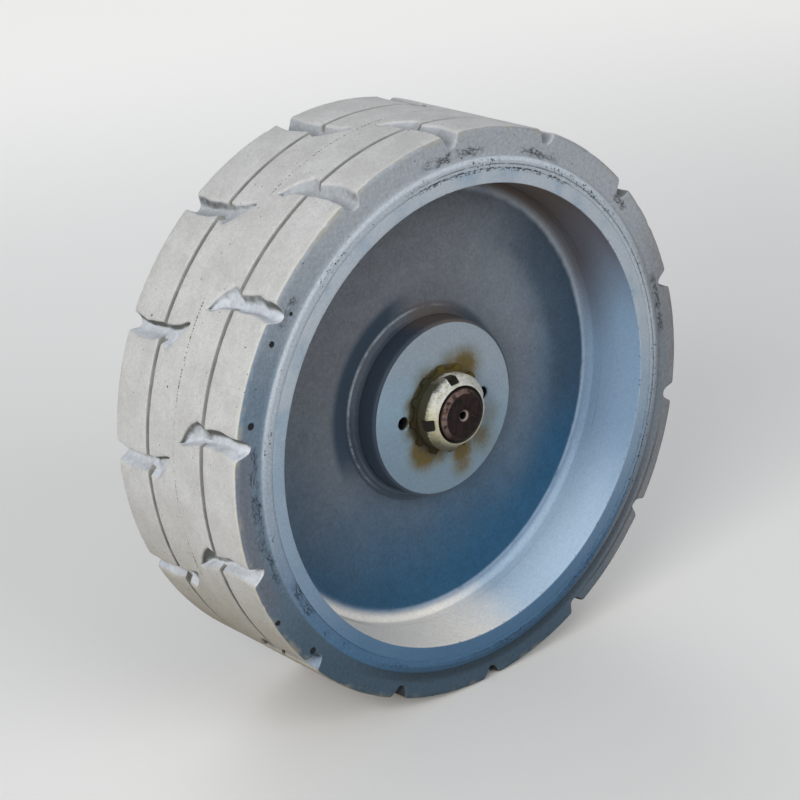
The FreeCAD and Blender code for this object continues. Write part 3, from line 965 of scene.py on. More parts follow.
@dataclass(frozen=True)
class WheelPaint:
    """Grey-blue satin paint with painted shade below and in the dish, painted highlights, a dark film in the
    dish, settled dust and old grease round the nut.
    """

    face_y: float
    web_y: float
    ring_y: float
    boss: float
    weld: float
    dip_edge: float
    barrel: float
    joint: float
    edge: float
    # The paint goes from the deep colour, painted shade at the bottom, through the middle one to the light
    # one in patches above
    light: Colour = (0.38, 0.425, 0.475)
    middle: Colour = (0.235, 0.315, 0.405)
    deep: Colour = (0.06, 0.135, 0.235)
    face: Colour = (0.24, 0.285, 0.33)
    face_left: Colour = (0.215, 0.305, 0.385)
    film_high: Colour = (0.135, 0.148, 0.168)
    film_low: Colour = (0.018, 0.08, 0.155)
    shadowed: Colour = (0.028, 0.042, 0.064)
    crescent_shade: Colour = (0.03, 0.052, 0.08)
    brown_reflection: Colour = (0.085, 0.068, 0.062)
    black: Colour = (0.01, 0.011, 0.013)
    soot_and_shade: Colour = (0.105, 0.08, 0.066)
    smoky: Colour = (0.11, 0.11, 0.13)
    barrel_blue: Colour = (0.215, 0.32, 0.45)
    barrel_painted_light: Colour = (0.43, 0.56, 0.7)
    # Pale paint for the painted highlights on the fillet and the weld
    pale: Colour = (0.46, 0.56, 0.68)
    dust: Colour = (0.86, 0.82, 0.76)
    grease: Colour = (0.1, 0.06, 0.0)
    grease_edge: Colour = (0.13, 0.125, 0.06)
    olive: Colour = (0.058, 0.056, 0.008)
    grease_black: Colour = (0.028, 0.026, 0.009)
    rust: Colour = (0.1, 0.055, 0.03)
    stains: tuple[Blemish, ...] = (
        Blemish(19.0, 23.5, 3.0, 19.0, 1.0), Blemish(7.0, 28.0, 1.0, 16.0, 0.7),
        Blemish(-14.0, 24.0, 2.0, 13.0, 0.6), Blemish(-25.0, 9.0, 3.0, 10.0, 0.8),
        Blemish(-27.0, -8.0, 3.0, 9.0, 0.8), Blemish(-18.0, -23.0, 7.0, 14.0, 1.0),
        Blemish(-6.0, -29.0, 2.0, 12.0, 0.8), Blemish(13.0, -33.0, 3.0, 14.0, 0.95),
        Blemish(13.0, -43.0, 2.0, 12.0, 0.75), Blemish(30.0, -29.0, 1.0, 18.0, 0.75),
        Blemish(38.0, -16.0, 2.0, 14.0, 0.45),
    )

    def material(self) -> Material:
        """Makes the material.

        Returns:
            The material.
        """
        shader = Shader("wheel paint")
        height = shader.z + shader.sway(30.0, 60.0, 3.0, 3.0)
        front = shader.y.fall(self.web_y + 5.0, self.web_y + 6.0)
        colour = self.coat(shader, height)
        inside = front * shader.radius.rise(self.barrel - 9.0, self.barrel - 1.0) * shader.radius.fall(
            self.edge + 0.5, self.edge + 1.0) * shader.y.rise(self.ring_y + 0.1, self.ring_y + 0.9)
        colour = shader.mix(colour, self.barrel_colour(shader), inside)
        on_face = shader.radius.fall(self.boss - 2.4, self.boss - 1.9) * shader.y.fall(
            self.face_y + 2.0, self.face_y + 3.0)
        colour = shader.mix(colour, self.face_colour(shader), on_face)
        past_boss = shader.radius.rise(self.boss - 2.4, self.boss - 1.9)
        ragged = shader.radius + shader.noise(9.0, 15.0, 3.0) * 3.0
        film = past_boss * front * ragged.fall(self.barrel - 9.0, self.barrel - 4.0) * (1.0 - inside)
        colour = shader.mix(colour, self.film_colour(shader), film)
        # Painted highlight: a thin pale line at the film's edge by the fillet, strongest at the lower right
        lit = (shader.x * 0.7 - shader.z * 0.7).rise(20.0, 120.0) * 0.5
        patchy = shader.noise(14.0, 24.0, 3.0).rise(0.2, 0.55)
        line = shader.radius.near(self.barrel - 7.0, 0.4, 1.8) * lit * patchy
        colour = shader.mix(colour, self.pale, line * front * (1.0 - inside))
        colour = self.boss_shadow(shader, colour, film)
        # Painted shade: the bore and the puller holes are near black inside
        hole = shader.radius.fall(self.boss - 6.0, self.boss - 5.0) * shader.y.rise(
            self.face_y + 0.9, self.face_y + 2.2)
        colour = shader.mix(colour, self.black, hole)
        grease = self.grease_mask(shader) * on_face
        tint = shader.mix(self.grease_edge, self.grease, grease.rise(0.35, 0.85))
        tint = shader.mix(tint, self.olive, shader.noise(5.0, 37.0, 4.0, 0.65).rise(0.5, 0.66) * 0.75)
        drift = shader.sway(4.5, 5.0, 16.0, 3.0)
        left = (shader.z * 0.25 - shader.x + drift).rise(-10.0, 10.0)
        wet = (shader.radius + drift).fall(27.5, 34.0) * left
        tint = shader.mix(tint, self.grease_black, wet * 0.85)
        colour = shader.mix(colour, tint, grease * 0.95)
        colour = shader.mix(colour, self.black, self.joint_dirt(shader) * 0.8)
        chips = self.chips(shader)
        colour = shader.mix(colour, self.rust, chips)
        grain = shader.noise(0.8, 2.0, 2.0, 0.6) * 0.35 + shader.noise(2.0, 31.0, 3.0, 0.8) * 0.45
        colour = shader.shade(colour, grain + 0.6)
        peel = shader.noise(1.1, 6.0, 2.0) * 0.1 + shader.noise(5.0, 7.0, 3.0) * 0.22
        return shader.finished({
            "Base Color": colour,
            "Roughness": 0.58 + inside * 0.12 + film * 0.08 - grease * 0.25 + chips * 0.2,
            "Normal": shader.bump(peel - chips * 0.25),
            "Specular IOR Level": 0.3,
        })

    def coat(self, shader: Shader, height: Wire) -> Wire:
        """The paint itself, darker and bluer below as painted shade, lighter in patches above.

        Args:
            shader: the material's shader.
            height: the height with some noise.

        Returns:
            The colour.
        """
        colour = shader.mix(self.deep, self.middle, height.rise(-160.0, -10.0))
        patchy = shader.noise(22.0, 1.0, 4.0).rise(0.25, 0.55)
        return shader.mix(colour, self.light, (height + shader.x * 0.08).rise(-40.0, 70.0) * patchy)

    def face_colour(self, shader: Shader) -> Wire:
        """The boss's turned face: bluer on the left, greyer at the top and duller below.

        Args:
            shader: the material's shader.

        Returns:
            The colour.
        """
        sway = shader.sway(15.0, 20.0, 27.0, 3.0)
        colour = shader.mix(self.face_left, self.face, (shader.z + shader.x * 0.4 + sway).rise(-10.0, 45.0))
        low = (sway - shader.z - shader.x * 0.3).rise(-10.0, 50.0)
        return shader.shade(colour, 1.06 - low * 0.3)

    def barrel_colour(self, shader: Shader) -> Wire:
        """The bore of the band: soot and painted shade above, blue at the side, dust and painted light at the
        bottom, and painted shade deeper in.

        Args:
            shader: the material's shader.

        Returns:
            The colour.
        """
        level = shader.sway(0.07, 26.0, 18.0, 4.0) - shader.z / shader.radius
        deep = shader.y.rise(self.ring_y + 8.0, self.web_y - 2.0)
        # Painted shade with soot where the bore faces down at the top, and painted light where it faces up at
        # the bottom
        colour = shader.mix(self.soot_and_shade, self.smoky, (level - deep * 0.1).rise(-0.9, -0.6))
        colour = shader.mix(colour, self.barrel_blue, (level - deep * 0.2).rise(-0.65, -0.1))
        colour = shader.mix(colour, self.barrel_painted_light, level.rise(0.3, 0.9))
        # Painted shade deeper in the dish
        colour = shader.shade(colour, 1.08 - deep * 0.28)
        # Dust at the bottom, which is also painted light there
        bottom = (level - shader.x / shader.radius * 0.45).rise(0.8, 1.06)
        return shader.mix(colour, self.dust, bottom * (shader.noise(8.0, 32.0, 4.0, 0.7) * 0.4 + 0.8))

    def film_colour(self, shader: Shader) -> Wire:
        """The film on the disc's face: brownish grey above, and deep blue as painted shade below and along
        the right edge.

        Args:
            shader: the material's shader.

        Returns:
            The colour.
        """
        # Painted shade: the film goes deep blue towards the bottom
        low = shader.x * 0.3 - shader.z * 0.8 + shader.radius * 0.9 + shader.sway(30.0, 45.0, 19.0, 3.0)
        colour = shader.mix(self.film_high, self.film_low, low.rise(10.0, 225.0))
        # Painted shade: a dark crescent along the web's right edge by the fillet
        brim = (shader.radius + shader.noise(20.0, 34.0) * 10.0).rise(110.0, 124.0)
        brim *= ((shader.x * 0.966 + shader.z * 0.259) / shader.radius).rise(0.72, 0.95)
        colour = shader.mix(colour, self.crescent_shade, brim * 0.75)
        hazy = (shader.x + shader.z * 0.1 + shader.sway(15.0, 30.0, 36.0)).rise(25.0, 80.0)
        hazy *= shader.radius.fall(85.0, 125.0)
        colour = shader.mix(colour, self.film_high, hazy * 0.4)
        mottled = shader.noise(11.0, 4.0, 5.0, 0.7) * 0.5 + shader.noise(2.2, 20.0, 3.0, 0.8) * 0.8
        return shader.shade(colour, mottled + hazy * 0.22 + 0.35)

    def boss_shadow(self, shader: Shader, colour: Wire, film: Wire) -> Wire:
        """Painted shade in the dip, on the boss's flank and on the weld, a painted brown reflection at the
        top, and a painted highlight on the weld's edge.

        Args:
            shader: the material's shader.
            colour: the colour so far.
            film: the mask of the film on the disc.

        Returns:
            The colour.
        """
        side = (shader.z * 0.6 - shader.x + shader.sway(20.0, 40.0, 8.0)).rise(-40.0, 25.0)
        dip = shader.radius.rise(self.weld - 1.2, self.weld) * shader.radius.fall(
            self.dip_edge - 8.0, self.dip_edge)
        around = (shader.bearing() + shader.sway(10.0, 30.0, 35.0)).near(-28.0, 36.0, 26.0)
        # Painted shade in the dip round the boss, at the upper left
        colour = shader.mix(colour, self.crescent_shade, film * dip * around * 0.95)
        top = (shader.z + shader.x * 0.9 + shader.sway(10.0, 15.0, 33.0, 3.0)).rise(34.0, 62.0)
        flank = shader.radius.fall(self.boss + 1.2, self.boss + 3.0)
        over = shader.radius.fall(self.weld - 2.0, self.weld + 3.0) * top
        # Painted shade on the weld next to the boss, and on its lower left
        beside = shader.radius.fall(self.weld - 2.6, self.weld - 1.8)
        colour = shader.mix(colour, self.shadowed, film * around * 0.6 * beside)
        arc = shader.radius.near(self.weld - 1.5, 2.0, 1.0) * shader.bearing().near(35.0, 35.0, 20.0)
        colour = shader.mix(colour, self.shadowed, film * arc * 0.6)
        # Painted shade on the boss's flank and the weld's top, brown at the top as a painted reflection
        tint = shader.mix(self.shadowed, self.brown_reflection, top * shader.x.fall(10.0, 50.0))
        colour = shader.mix(colour, tint, film * (flank * (side * 0.55 + 0.4) | over * 0.8))
        # Painted highlight along the weld's edge at the upper left
        broken = shader.noise(8.0, 21.0, 4.0, 0.65).rise(0.36, 0.62)
        shine = (shader.z * 0.6 - shader.x).rise(0.0, 50.0) * broken
        rim = shader.radius.near(self.weld - 1.6, 0.2, 0.7) * shine
        return shader.mix(colour, self.pale, film * rim * 0.35)

    def grease_mask(self, shader: Shader) -> Wire:
        """The mask of the grease on the boss's face, with soft mottled edges.

        Args:
            shader: the material's shader.

        Returns:
            The mask.
        """
        drift = shader.sway(3.5, 9.0, 9.0, 4.0, 0.7)
        sway = shader.sway(3.5, 9.0, 10.0, 4.0, 0.7)
        place = (shader.x + drift, shader.z + sway)
        mask = (shader.radius + drift * 0.7).fall(24.5, 36.0) * 0.85
        left = (shader.z * 0.4 - shader.x).rise(-30.0, 0.0)
        mask |= (shader.radius + drift * 0.3).fall(28.5, 33.5) * left
        for stain in self.stains:
            mask |= shader.spot(stain.x, stain.z, stain.reach, stain.soft, place) * stain.strength
        mask = mask * 1.1 + shader.sway(0.25, 2.6, 22.0, 4.0, 0.75) * mask.rise(0.0, 0.5)
        return (mask | 0.0) & 1.0

    def chips(self, shader: Shader) -> Wire:
        """The mask of bare spots along the band's edge and on its ring.

        Args:
            shader: the material's shader.

        Returns:
            The mask.
        """
        ring = shader.y.fall(self.ring_y + 1.0, self.ring_y + 2.5)
        edge = shader.radius.near(self.edge + 0.2, 0.3, 0.7) * shader.noise(2.6, 11.0, 3.0).rise(0.62, 0.68)
        return (edge * 0.6 | shader.specks(9.0, 0.5, 0.16, 13.0) * 0.8) * ring

    def joint_dirt(self, shader: Shader) -> Wire:
        """The mask of the dark dashes at the joint with the rubber."""
        joint = shader.radius.near(self.joint - 0.8, 0.6, 0.7) * shader.noise(2.2, 12.0, 3.0).rise(0.48, 0.58)
        return joint * shader.dirty_joint() * shader.y.fall(self.ring_y + 1.0, self.ring_y + 2.5)


@dataclass(frozen=True)
class NutPlating:
    """Cream zinc plating with turning marks, black grease and painted shade in the slots and thread, painted
    shade on the left, and an oily rear.
    """

    front_y: float
    face_radius: float
    slope: float
    radius: float
    bore: float
    plate: Colour = (0.58, 0.585, 0.55)
    cream: Colour = (0.46, 0.43, 0.26)
    yellowed: Colour = (0.26, 0.24, 0.12)
    # Black grease, also the painted shade in the slots and the thread
    grease: Colour = (0.014, 0.012, 0.008)
    oil: Colour = (0.026, 0.026, 0.011)
    golden: Colour = (0.085, 0.06, 0.01)
    tar: Colour = (0.02, 0.012, 0.002)

    def material(self) -> Material:
        """Makes the material.

        Returns:
            The material.
        """
        shader = Shader("nut plating")
        along = shader.y - self.front_y
        surface = (along * self.slope + self.face_radius) & self.radius
        slot = (surface - shader.radius).rise(0.5, 1.5) * along.rise(1.0, 2.0)
        thread = shader.radius.fall(self.bore + 1.3, self.bore + 1.9)
        streaks = shader.noise(3.2, 1.0, 5.0, 0.7).rise(0.44, 0.7)
        colour = shader.mix(self.plate, self.yellowed, streaks * 0.8)
        grain = shader.noise(1.2, 2.0, 3.0, 0.7) * 0.8 + 0.6
        # Painted shade: darker on the left
        colour = shader.shade(colour, grain - shader.x.fall(-18.0, -4.0) * 0.16)
        drift = shader.sway(4.5, 4.0, 3.0, 4.0, 0.65)
        foot = (drift - shader.z - shader.x * 0.6).rise(-8.0, 16.0)
        colour = shader.mix(colour, self.cream, foot * 0.75)
        left = (0.0 - shader.x - shader.z * 0.35 + drift).rise(-14.0, 8.0)
        rear = (along + drift * 0.7).rise(3.5, 6.5) * (left * 0.8 + 0.2) | (along + drift).rise(9.0, 13.0)
        low = (0.0 - shader.z - shader.x * 0.3 + drift * 1.6).rise(5.0, 24.0) * along.rise(-3.0, 4.0)
        greasy = shader.mix(self.golden, self.oil, left)
        thick = (drift * 0.6 - shader.x - shader.z).rise(8.0, 32.0)
        greasy = shader.mix(greasy, self.tar, thick * 0.85)
        colour = shader.mix(colour, greasy, (rear | low * 0.88) * 0.95)
        tabs = shader.radius.rise(self.radius + 0.1, self.radius + 0.5) | along.rise(13.0, 13.4)
        colour = shader.mix(colour, greasy, tabs)
        # Grease and painted shadow in the slots and the thread's gap
        grease_and_shade = slot | thread
        colour = shader.mix(colour, self.grease, grease_and_shade)
        return shader.finished({
            "Base Color": colour,
            "Metallic": 0.2 - grease_and_shade * 0.2,
            "Roughness": 0.44 + shader.noise(3.0, 5.0) * 0.2 + (rear | tabs) * 0.3,
            "Specular IOR Level": 0.35,
            "Normal": shader.bump(shader.turning(0.35, 1.0) * 0.05 + shader.noise(2.0, 6.0, 3.0) * 0.1),
        })


@dataclass(frozen=True)
class ShaftSteel:
    """Rusted shaft end and an oiled journal, with painted highlights on the end's chamfer and hole edge and
    painted shade in the hole.
    """

    end_y: float
    chamfer_radius: float
    hole_radius: float
    clean_y: float
    rust: Colour = (0.02, 0.01, 0.009)
    black: Colour = (0.005, 0.004, 0.004)
    # Worn rust for scrapes; also the chamfer's painted highlight
    worn: Colour = (0.17, 0.115, 0.1)
    steel: Colour = (0.5, 0.49, 0.47)
    hole_edge_highlight: Colour = (0.36, 0.29, 0.26)
    hole_shade: Colour = (0.004, 0.004, 0.004)

    def material(self) -> Material:
        """Makes the material.

        Returns:
            The material.
        """
        shader = Shader("shaft steel")
        blotches = shader.noise(4.5, 1.0, 4.0, 0.65).rise(0.38, 0.62)
        colour = shader.mix(self.black, self.rust, blotches)
        scrapes = shader.noise(1.6, 2.0, 4.0, 0.7).rise(0.6, 0.72)
        colour = shader.mix(colour, self.worn, scrapes * 0.3)
        chamfer = shader.radius.rise(self.chamfer_radius - 0.4, self.chamfer_radius + 0.4)
        # Painted highlight on the chamfer's upper left, in the worn rust colour
        lit_upper_left = (shader.z - shader.x).rise(-4.0, 14.0) * 0.8 + 0.1
        chamfer_highlight = chamfer * shader.noise(4.0, 3.0, 3.0).rise(0.3, 0.6) * shader.y.fall(
            self.end_y + 2.2, self.end_y + 3.0)
        colour = shader.mix(colour, self.worn, chamfer_highlight * lit_upper_left)
        # Painted highlight on the centre hole's edge
        lip = shader.radius.near(self.hole_radius + 0.8, 0.3, 0.5) * shader.y.fall(
            self.end_y + 1.2, self.end_y + 2.0)
        colour = shader.mix(colour, self.hole_edge_highlight, lip * 0.7)
        # Painted shade inside the centre hole
        hole = shader.radius.fall(self.hole_radius, self.hole_radius + 0.3) * shader.y.fall(
            self.end_y + 12.0, self.end_y + 14.0)
        colour = shader.mix(colour, self.hole_shade, hole)
        clean = shader.y.rise(self.clean_y, self.clean_y + 2.0)
        colour = shader.mix(colour, self.steel, clean)
        return shader.finished({
            "Base Color": colour,
            "Metallic": clean * 0.95,
            "Roughness": 0.75 - clean * 0.43,
            "Specular IOR Level": 0.15,
            "Normal": shader.bump(blotches * 0.25 + scrapes * 0.15 + shader.turning(0.9) * 0.25),
        })


@dataclass(frozen=True)
class BlackCasting:
    """Black painted casting with dust on top, chipped paint and one machined mounting face."""

    face_y: float
    seat_y: float
    paint: Colour = (0.022, 0.023, 0.025)
    dust: Colour = (0.3, 0.27, 0.23)
    rust: Colour = (0.14, 0.062, 0.03)
    steel: Colour = (0.42, 0.41, 0.39)

    def material(self) -> Material:
        """Makes the material.

        Returns:
            The material.
        """
        shader = Shader("black casting")
        machined = abs(shader.along).rise(0.9, 0.98) * (
            shader.y.near(self.face_y, 0.2, 0.2) | shader.y.near(self.seat_y, 0.3, 0.3))
        colour = shader.shade(self.paint, shader.noise(14.0, 1.0, 3.0) * 0.8 + 0.6)
        settled = shader.upward.rise(0.1, 0.9) * shader.noise(12.0, 2.0, 4.0).rise(0.3, 0.7)
        film = shader.noise(30.0, 3.0, 4.0).rise(0.45, 0.75) * 0.25
        colour = shader.mix(colour, self.dust, (settled * 0.6 | film) * 0.8)
        chips = shader.noise(9.0, 4.0, 5.0, 0.7).rise(0.68, 0.72)
        colour = shader.mix(colour, self.rust, chips * 0.9)
        bare = shader.mix(self.steel, self.rust, shader.noise(10.0, 5.0, 4.0).rise(0.5, 0.75) * 0.7)
        colour = shader.mix(colour, bare, machined)
        grain = shader.noise(1.8, 6.0, 3.0, 0.6) * 0.35 + shader.noise(6.0, 7.0) * 0.3
        return shader.finished({
            "Base Color": colour,
            "Metallic": machined * 0.8,
            "Roughness": 0.42 + settled * 0.4 + chips * 0.35,
            "Normal": shader.bump(grain * (1.0 - machined) - chips * 0.15),
        })


@dataclass(frozen=True)
class ZincSteel:
    """Dull zinc plating with a yellow cast and dirt."""

    plate: Colour = (0.6, 0.59, 0.54)
    yellowed: Colour = (0.55, 0.47, 0.25)
    dirt: Colour = (0.09, 0.075, 0.055)

    def material(self) -> Material:
        """Makes the material.

        Returns:
            The material.
        """
        shader = Shader("zinc steel")
        colour = shader.mix(self.plate, self.yellowed, shader.noise(6.0, 1.0, 3.0).rise(0.35, 0.75) * 0.6)
        stains = shader.noise(4.0, 2.0, 4.0, 0.65).rise(0.52, 0.7)
        colour = shader.mix(colour, self.dirt, stains * 0.7)
        return shader.finished({
            "Base Color": colour,
            "Metallic": 0.85 - stains * 0.6,
            "Roughness": 0.34 + stains * 0.35,
            "Normal": shader.bump(shader.noise(1.2, 3.0, 3.0) * 0.06),
        })


@dataclass(frozen=True)
class SealRubber:
    """Black oiled rubber."""

    rubber: Colour = (0.018, 0.018, 0.019)
    dust: Colour = (0.12, 0.11, 0.1)

    def material(self) -> Material:
        """Makes the material.

        Returns:
            The material.
        """
        shader = Shader("seal rubber")
        dusty = shader.noise(5.0, 1.0, 4.0).rise(0.45, 0.7)
        return shader.finished({
            "Base Color": shader.mix(self.rubber, self.dust, dusty * 0.6),
            "Roughness": 0.45 + dusty * 0.35,
            "Normal": shader.bump(shader.noise(0.9, 2.0, 2.0) * 0.05),
        })


# Sub-assemblies


@dataclass
class Tyre:
    """Solid rubber tyre: one grid whose columns follow the walls of its notches."""

    span: Span
    bore: float
    lip_height: float = 1.2
    lip_width: float = 7.5
    shoulder: float = 3.2
    groove_place: float = 28.4      # from the middle plane
    groove_half: float = 1.9
    groove_depth: float = 4.2
    notch_count: int = 14
    notch_start: float = 39.8       # degrees from +X towards +Z
    notch_stagger: float = 9.7      # degrees from an outer notch to the next inner one
    pull_radius: float = 176.0      # where a notch begins to draw in the side
    wall_reach: float = 3.2
    # How much wider each wall is, by distance from the side
    early_ease: Rows = ((0.0, 1.55), (7.0, 1.4), (13.0, 2.3), (60.0, 2.3))
    late_ease: Rows = ((0.0, 1.75), (6.0, 1.5), (13.0, 1.0), (60.0, 1.0))
    tip: float = 57.5               # a notch's length from the side
    # The two walls of an outer notch: distance from the side, place along the tread
    early_wall: Rows = (
        (-1.0, -5.6), (10.0, -7.0), (18.0, -8.0), (27.0, -6.2), (33.0, -4.5), (37.0, -7.0), (42.0, -9.0),
        (48.0, -4.5), (52.0, 0.0), (57.5, 8.8), (60.0, 9.0), (70.0, 6.0), (127.0, 4.0))
    late_wall: Rows = (
        (-1.0, 5.6), (5.0, 5.2), (16.0, 3.4), (28.0, 4.8), (34.0, 5.2), (42.0, 6.0), (48.5, 7.6),
        (54.0, 10.8), (57.5, 10.6), (60.0, 10.6), (70.0, 12.0), (127.0, 12.0))
    # A notch's floor: distance from the side, depth below the tread
    floor: Rows = (
        (0.0, 9.6), (1.0, 8.9), (3.0, 8.5), (8.0, 8.2), (16.0, 8.0), (27.0, 7.2), (35.0, 6.4), (40.0, 5.5),
        (48.0, 4.8), (57.5, 4.0))
    # A wall's section: distance from its edge into the notch, share of the depth
    wall: Rows = (
        (-2.1, 0.0), (-1.1, 0.03), (-0.35, 0.13), (0.3, 0.36), (0.95, 0.66), (1.6, 0.87), (2.3, 0.97),
        (3.1, 1.0))
    # The lip's section: width from the bore, height above the side
    lip: Rows = (
        (0.0, 0.95), (0.6, 1.2), (2.2, 1.2), (4.0, 1.2), (5.6, 1.2), (7.0, 1.2), (7.7, 1.0), (8.4, 0.45),
        (9.4, 0.0))
    side_rows: tuple[float, ...] = (11.0, 12.6, 14.0, 15.4, 16.8, 18.0, 19.2, 20.4, 21.6, 22.6)
    tread_rows: tuple[float, ...] = (
        8.0, 10.5, 13.0, 16.0, 19.0, 22.0, 25.0, 28.0, 31.0, 38.0, 40.0, 42.0, 44.5, 47.0, 49.0, 51.0, 53.0,
        55.0, 56.5, 57.5, 58.3, 59.3, 61.0, 62.9, 63.5)
    groove_rows: Rows = (
        (-1.5, 0.0), (-1.0, 0.06), (-0.8, 0.55), (-0.5, 0.96), (0.0, 1.0), (0.5, 0.96), (0.8, 0.55),
        (1.0, 0.06), (1.5, 0.0))
    column_gap: float = 0.01        # the least space between two columns
    stray: float = 1.1              # how far a notch's wall wanders, and over what length
    stray_length: float = 8.0
    early_land: int = 5             # columns from an outer notch to the next inner one
    late_land: int = 9              # columns from there to the next outer one
    dips: Wear = Wear(26.0, 0.3)
    grain: Wear = Wear(3.5, 0.16, (5.0, 0.0, 0.0))
    chips: Wear = Wear(7.0, 1.5, (0.0, 9.0, 0.0))
    chip_level: float = 0.25        # the level of noise at which a chip begins
    inner_share: float = 0.25       # the size of chips away from an edge
    edge_reach: float = 3.5         # how near an edge they are full size
    lumps: Wear = Wear(8.0, 1.5, (3.0, 0.0, 6.0))
    lump_depth: float = 2.5         # the depth below the tread at which lumps begin
    lip_dents: Wear = Wear(5.0, 0.45, (0.0, 0.0, 4.0))

    @property
    def tread(self) -> float:
        """The tread's radius."""
        return self.span.radius - SKIN

    @property
    def width(self) -> float:
        """The width between the two sides, without the lips."""
        return self.span.end - self.span.start - 2.0 * self.lip_height

    def half_section(self) -> np.ndarray:
        """The section from the bore to the middle of the tread.

        Returns:
            Rows of radius, distance from the side, share of the groove.
        """
        rows = [(self.bore + width, -height, 0.0) for width, height in self.lip]
        rows += [(self.bore + width, 0.0, 0.0) for width in self.side_rows]
        centre = self.tread - self.shoulder
        for k in range(7):
            turn = math.radians(15.0 * k)
            inward = self.shoulder * (1.0 - math.cos(turn))
            rows.append((centre + self.shoulder * math.sin(turn), inward, 0.0))
        place = self.width / 2.0 - self.groove_place
        grooves = [(self.tread, place + shift * self.groove_half, share) for shift, share in self.groove_rows]
        plain = [(self.tread, distance, 0.0) for distance in self.tread_rows]
        rows += sorted(grooves + plain, key=lambda row: row[1])
        return np.array(rows)

    def wall_places(self, distance: np.ndarray) -> np.ndarray:
        """The columns of one outer notch along the tread.

        Args:
            distance: each row's distance from the side.

        Returns:
            Places by row and column, in millimetres from the notch's angle.
        """
        early = np.interp(distance, *zip(*self.early_wall))
        late = np.interp(distance, *zip(*self.late_wall))
        ease = np.interp(distance, *zip(*self.early_ease))
        late_ease = np.interp(distance, *zip(*self.late_ease))
        scale = np.minimum(1.0, (late - early) / ((late_ease + ease) * self.wall_reach))
        steps = [step for step, _ in self.wall]
        first = [early + step * np.where(step > 0.0, scale * ease, 1.0) for step in steps]
        last = [late - step * np.where(step > 0.0, scale * late_ease, 1.0) for step in reversed(steps)]
        floor = [first[-1] + (last[0] - first[-1]) * share for share in (1.0 / 3.0, 2.0 / 3.0)]
        return np.stack(first + floor + last, axis=1)

    def sheet(self) -> tuple[np.ndarray, np.ndarray, np.ndarray]:
        """Works out the grid of the whole tyre.

        Returns:
            Radius, place along the axle and angle of each vertex, as rows by columns.
        """
        half = self.half_section()
        base = np.concatenate([half[:, 0], half[-2::-1, 0]])
        distance = np.concatenate([half[:, 1], self.width - half[-2::-1, 1]])
        groove = np.concatenate([half[:, 2], half[-2::-1, 2]])
        shares = [share for _, share in self.wall]
        share = np.array(shares + [1.0, 1.0] + shares[::-1])
        pitch = 2.0 * math.pi * self.tread / self.notch_count
        stagger = math.radians(self.notch_stagger) * self.tread
        pull = share[None, :] * self.reach_in(distance)[:, None]
        far_pull = share[None, :] * self.reach_in(self.width - distance)[:, None]
        sectors = []
        pulls = []
        for k in range(self.notch_count):
            outer = self.notch(k, distance)
            inner = stagger - self.wall_places(self.width - distance)[:, ::-1] - self.wander(k + 40, distance)
            following = self.notch((k + 1) % self.notch_count, distance)[:, :1] + pitch
            early, early_pull = self.land(outer[:, -1:], inner[:, :1], self.early_land)
            late, late_pull = self.land(inner[:, -1:], following, self.late_land)
            places = np.maximum.accumulate(np.concatenate([outer, early, inner, late], axis=1), axis=1)
            places = places + np.arange(places.shape[1])[None, :] * self.column_gap
            sectors.append(places + k * pitch)
            pulls += [pull, early_pull, far_pull, late_pull]
        places = np.concatenate(sectors, axis=1)
        pulled = np.concatenate(pulls, axis=1)
        radius = self.depths(base, distance, groove, pulled)
        angle = math.radians(self.notch_start) + places / self.tread
        y = self.span.start + self.lip_height + distance[:, None] + np.zeros_like(radius)
        return radius, y, angle

    def wander(self, seed: int, distance: np.ndarray) -> np.ndarray:
        """Works out how far one notch's two walls stray along the tread.

        Args:
            seed: the notch's own number.
            distance: each row's distance from the side.

        Returns:
            The shift by row and column.
        """
        shifts = [[noise.noise((seed * 7.3, place / self.stray_length, wall * 9.1)) * self.stray
                   for wall in (0, 1)] for place in distance]
        return np.repeat(shifts, len(self.wall) + 1, axis=1)

    def notch(self, seed: int, distance: np.ndarray) -> np.ndarray:
        """The columns of one outer notch, with its own stray walls."""
        return self.wall_places(distance) + self.wander(seed, distance)

    def reach_in(self, distance: np.ndarray) -> np.ndarray:
        """The share of a notch's depth at each row: 1 up to its tip, 0 past it."""
        return np.clip((self.tip + 1.6 - distance) / 1.3, 0.0, 1.0)

    @staticmethod
    def land(start: np.ndarray, end: np.ndarray, count: int) -> tuple[np.ndarray, np.ndarray]:
        """Columns evenly between two others, which no notch pulls in.

        Args:
            start: the columns before them.
            end: the columns after them.
            count: how many there are.

        Returns:
            Their places and pulls.
        """
        shares = np.arange(1, count + 1)[None, :] / (count + 1)
        places = start + (end - start) * shares
        return places, np.zeros_like(places)

    def depths(self, base: np.ndarray, distance: np.ndarray, groove: np.ndarray,
               pull: np.ndarray) -> np.ndarray:
        """The radius of each vertex.

        Args:
            base: each row's radius without notches or grooves.
            distance: its distance from the outer side.
            groove: its share of the groove.
            pull: the share of the notch's depth, by row and column.

        Returns:
            The radius by row and column.
        """
        near = np.minimum(distance, self.width - distance)
        floor = self.tread - np.interp(near, *zip(*self.floor))
        side_top = self.tread - self.shoulder
        along_side = np.clip((base - self.pull_radius) / (side_top - self.pull_radius), 0.0, 1.0)
        drawn = self.pull_radius + along_side * (floor - self.pull_radius)
        side = np.where(base > self.pull_radius, drawn, base)
        target = np.where(near <= 0.0, side, np.minimum(floor, base))
        notch = pull * (base - target)[:, None]
        cut = groove[:, None] * self.groove_depth
        return base[:, None] - np.maximum(notch, cut)

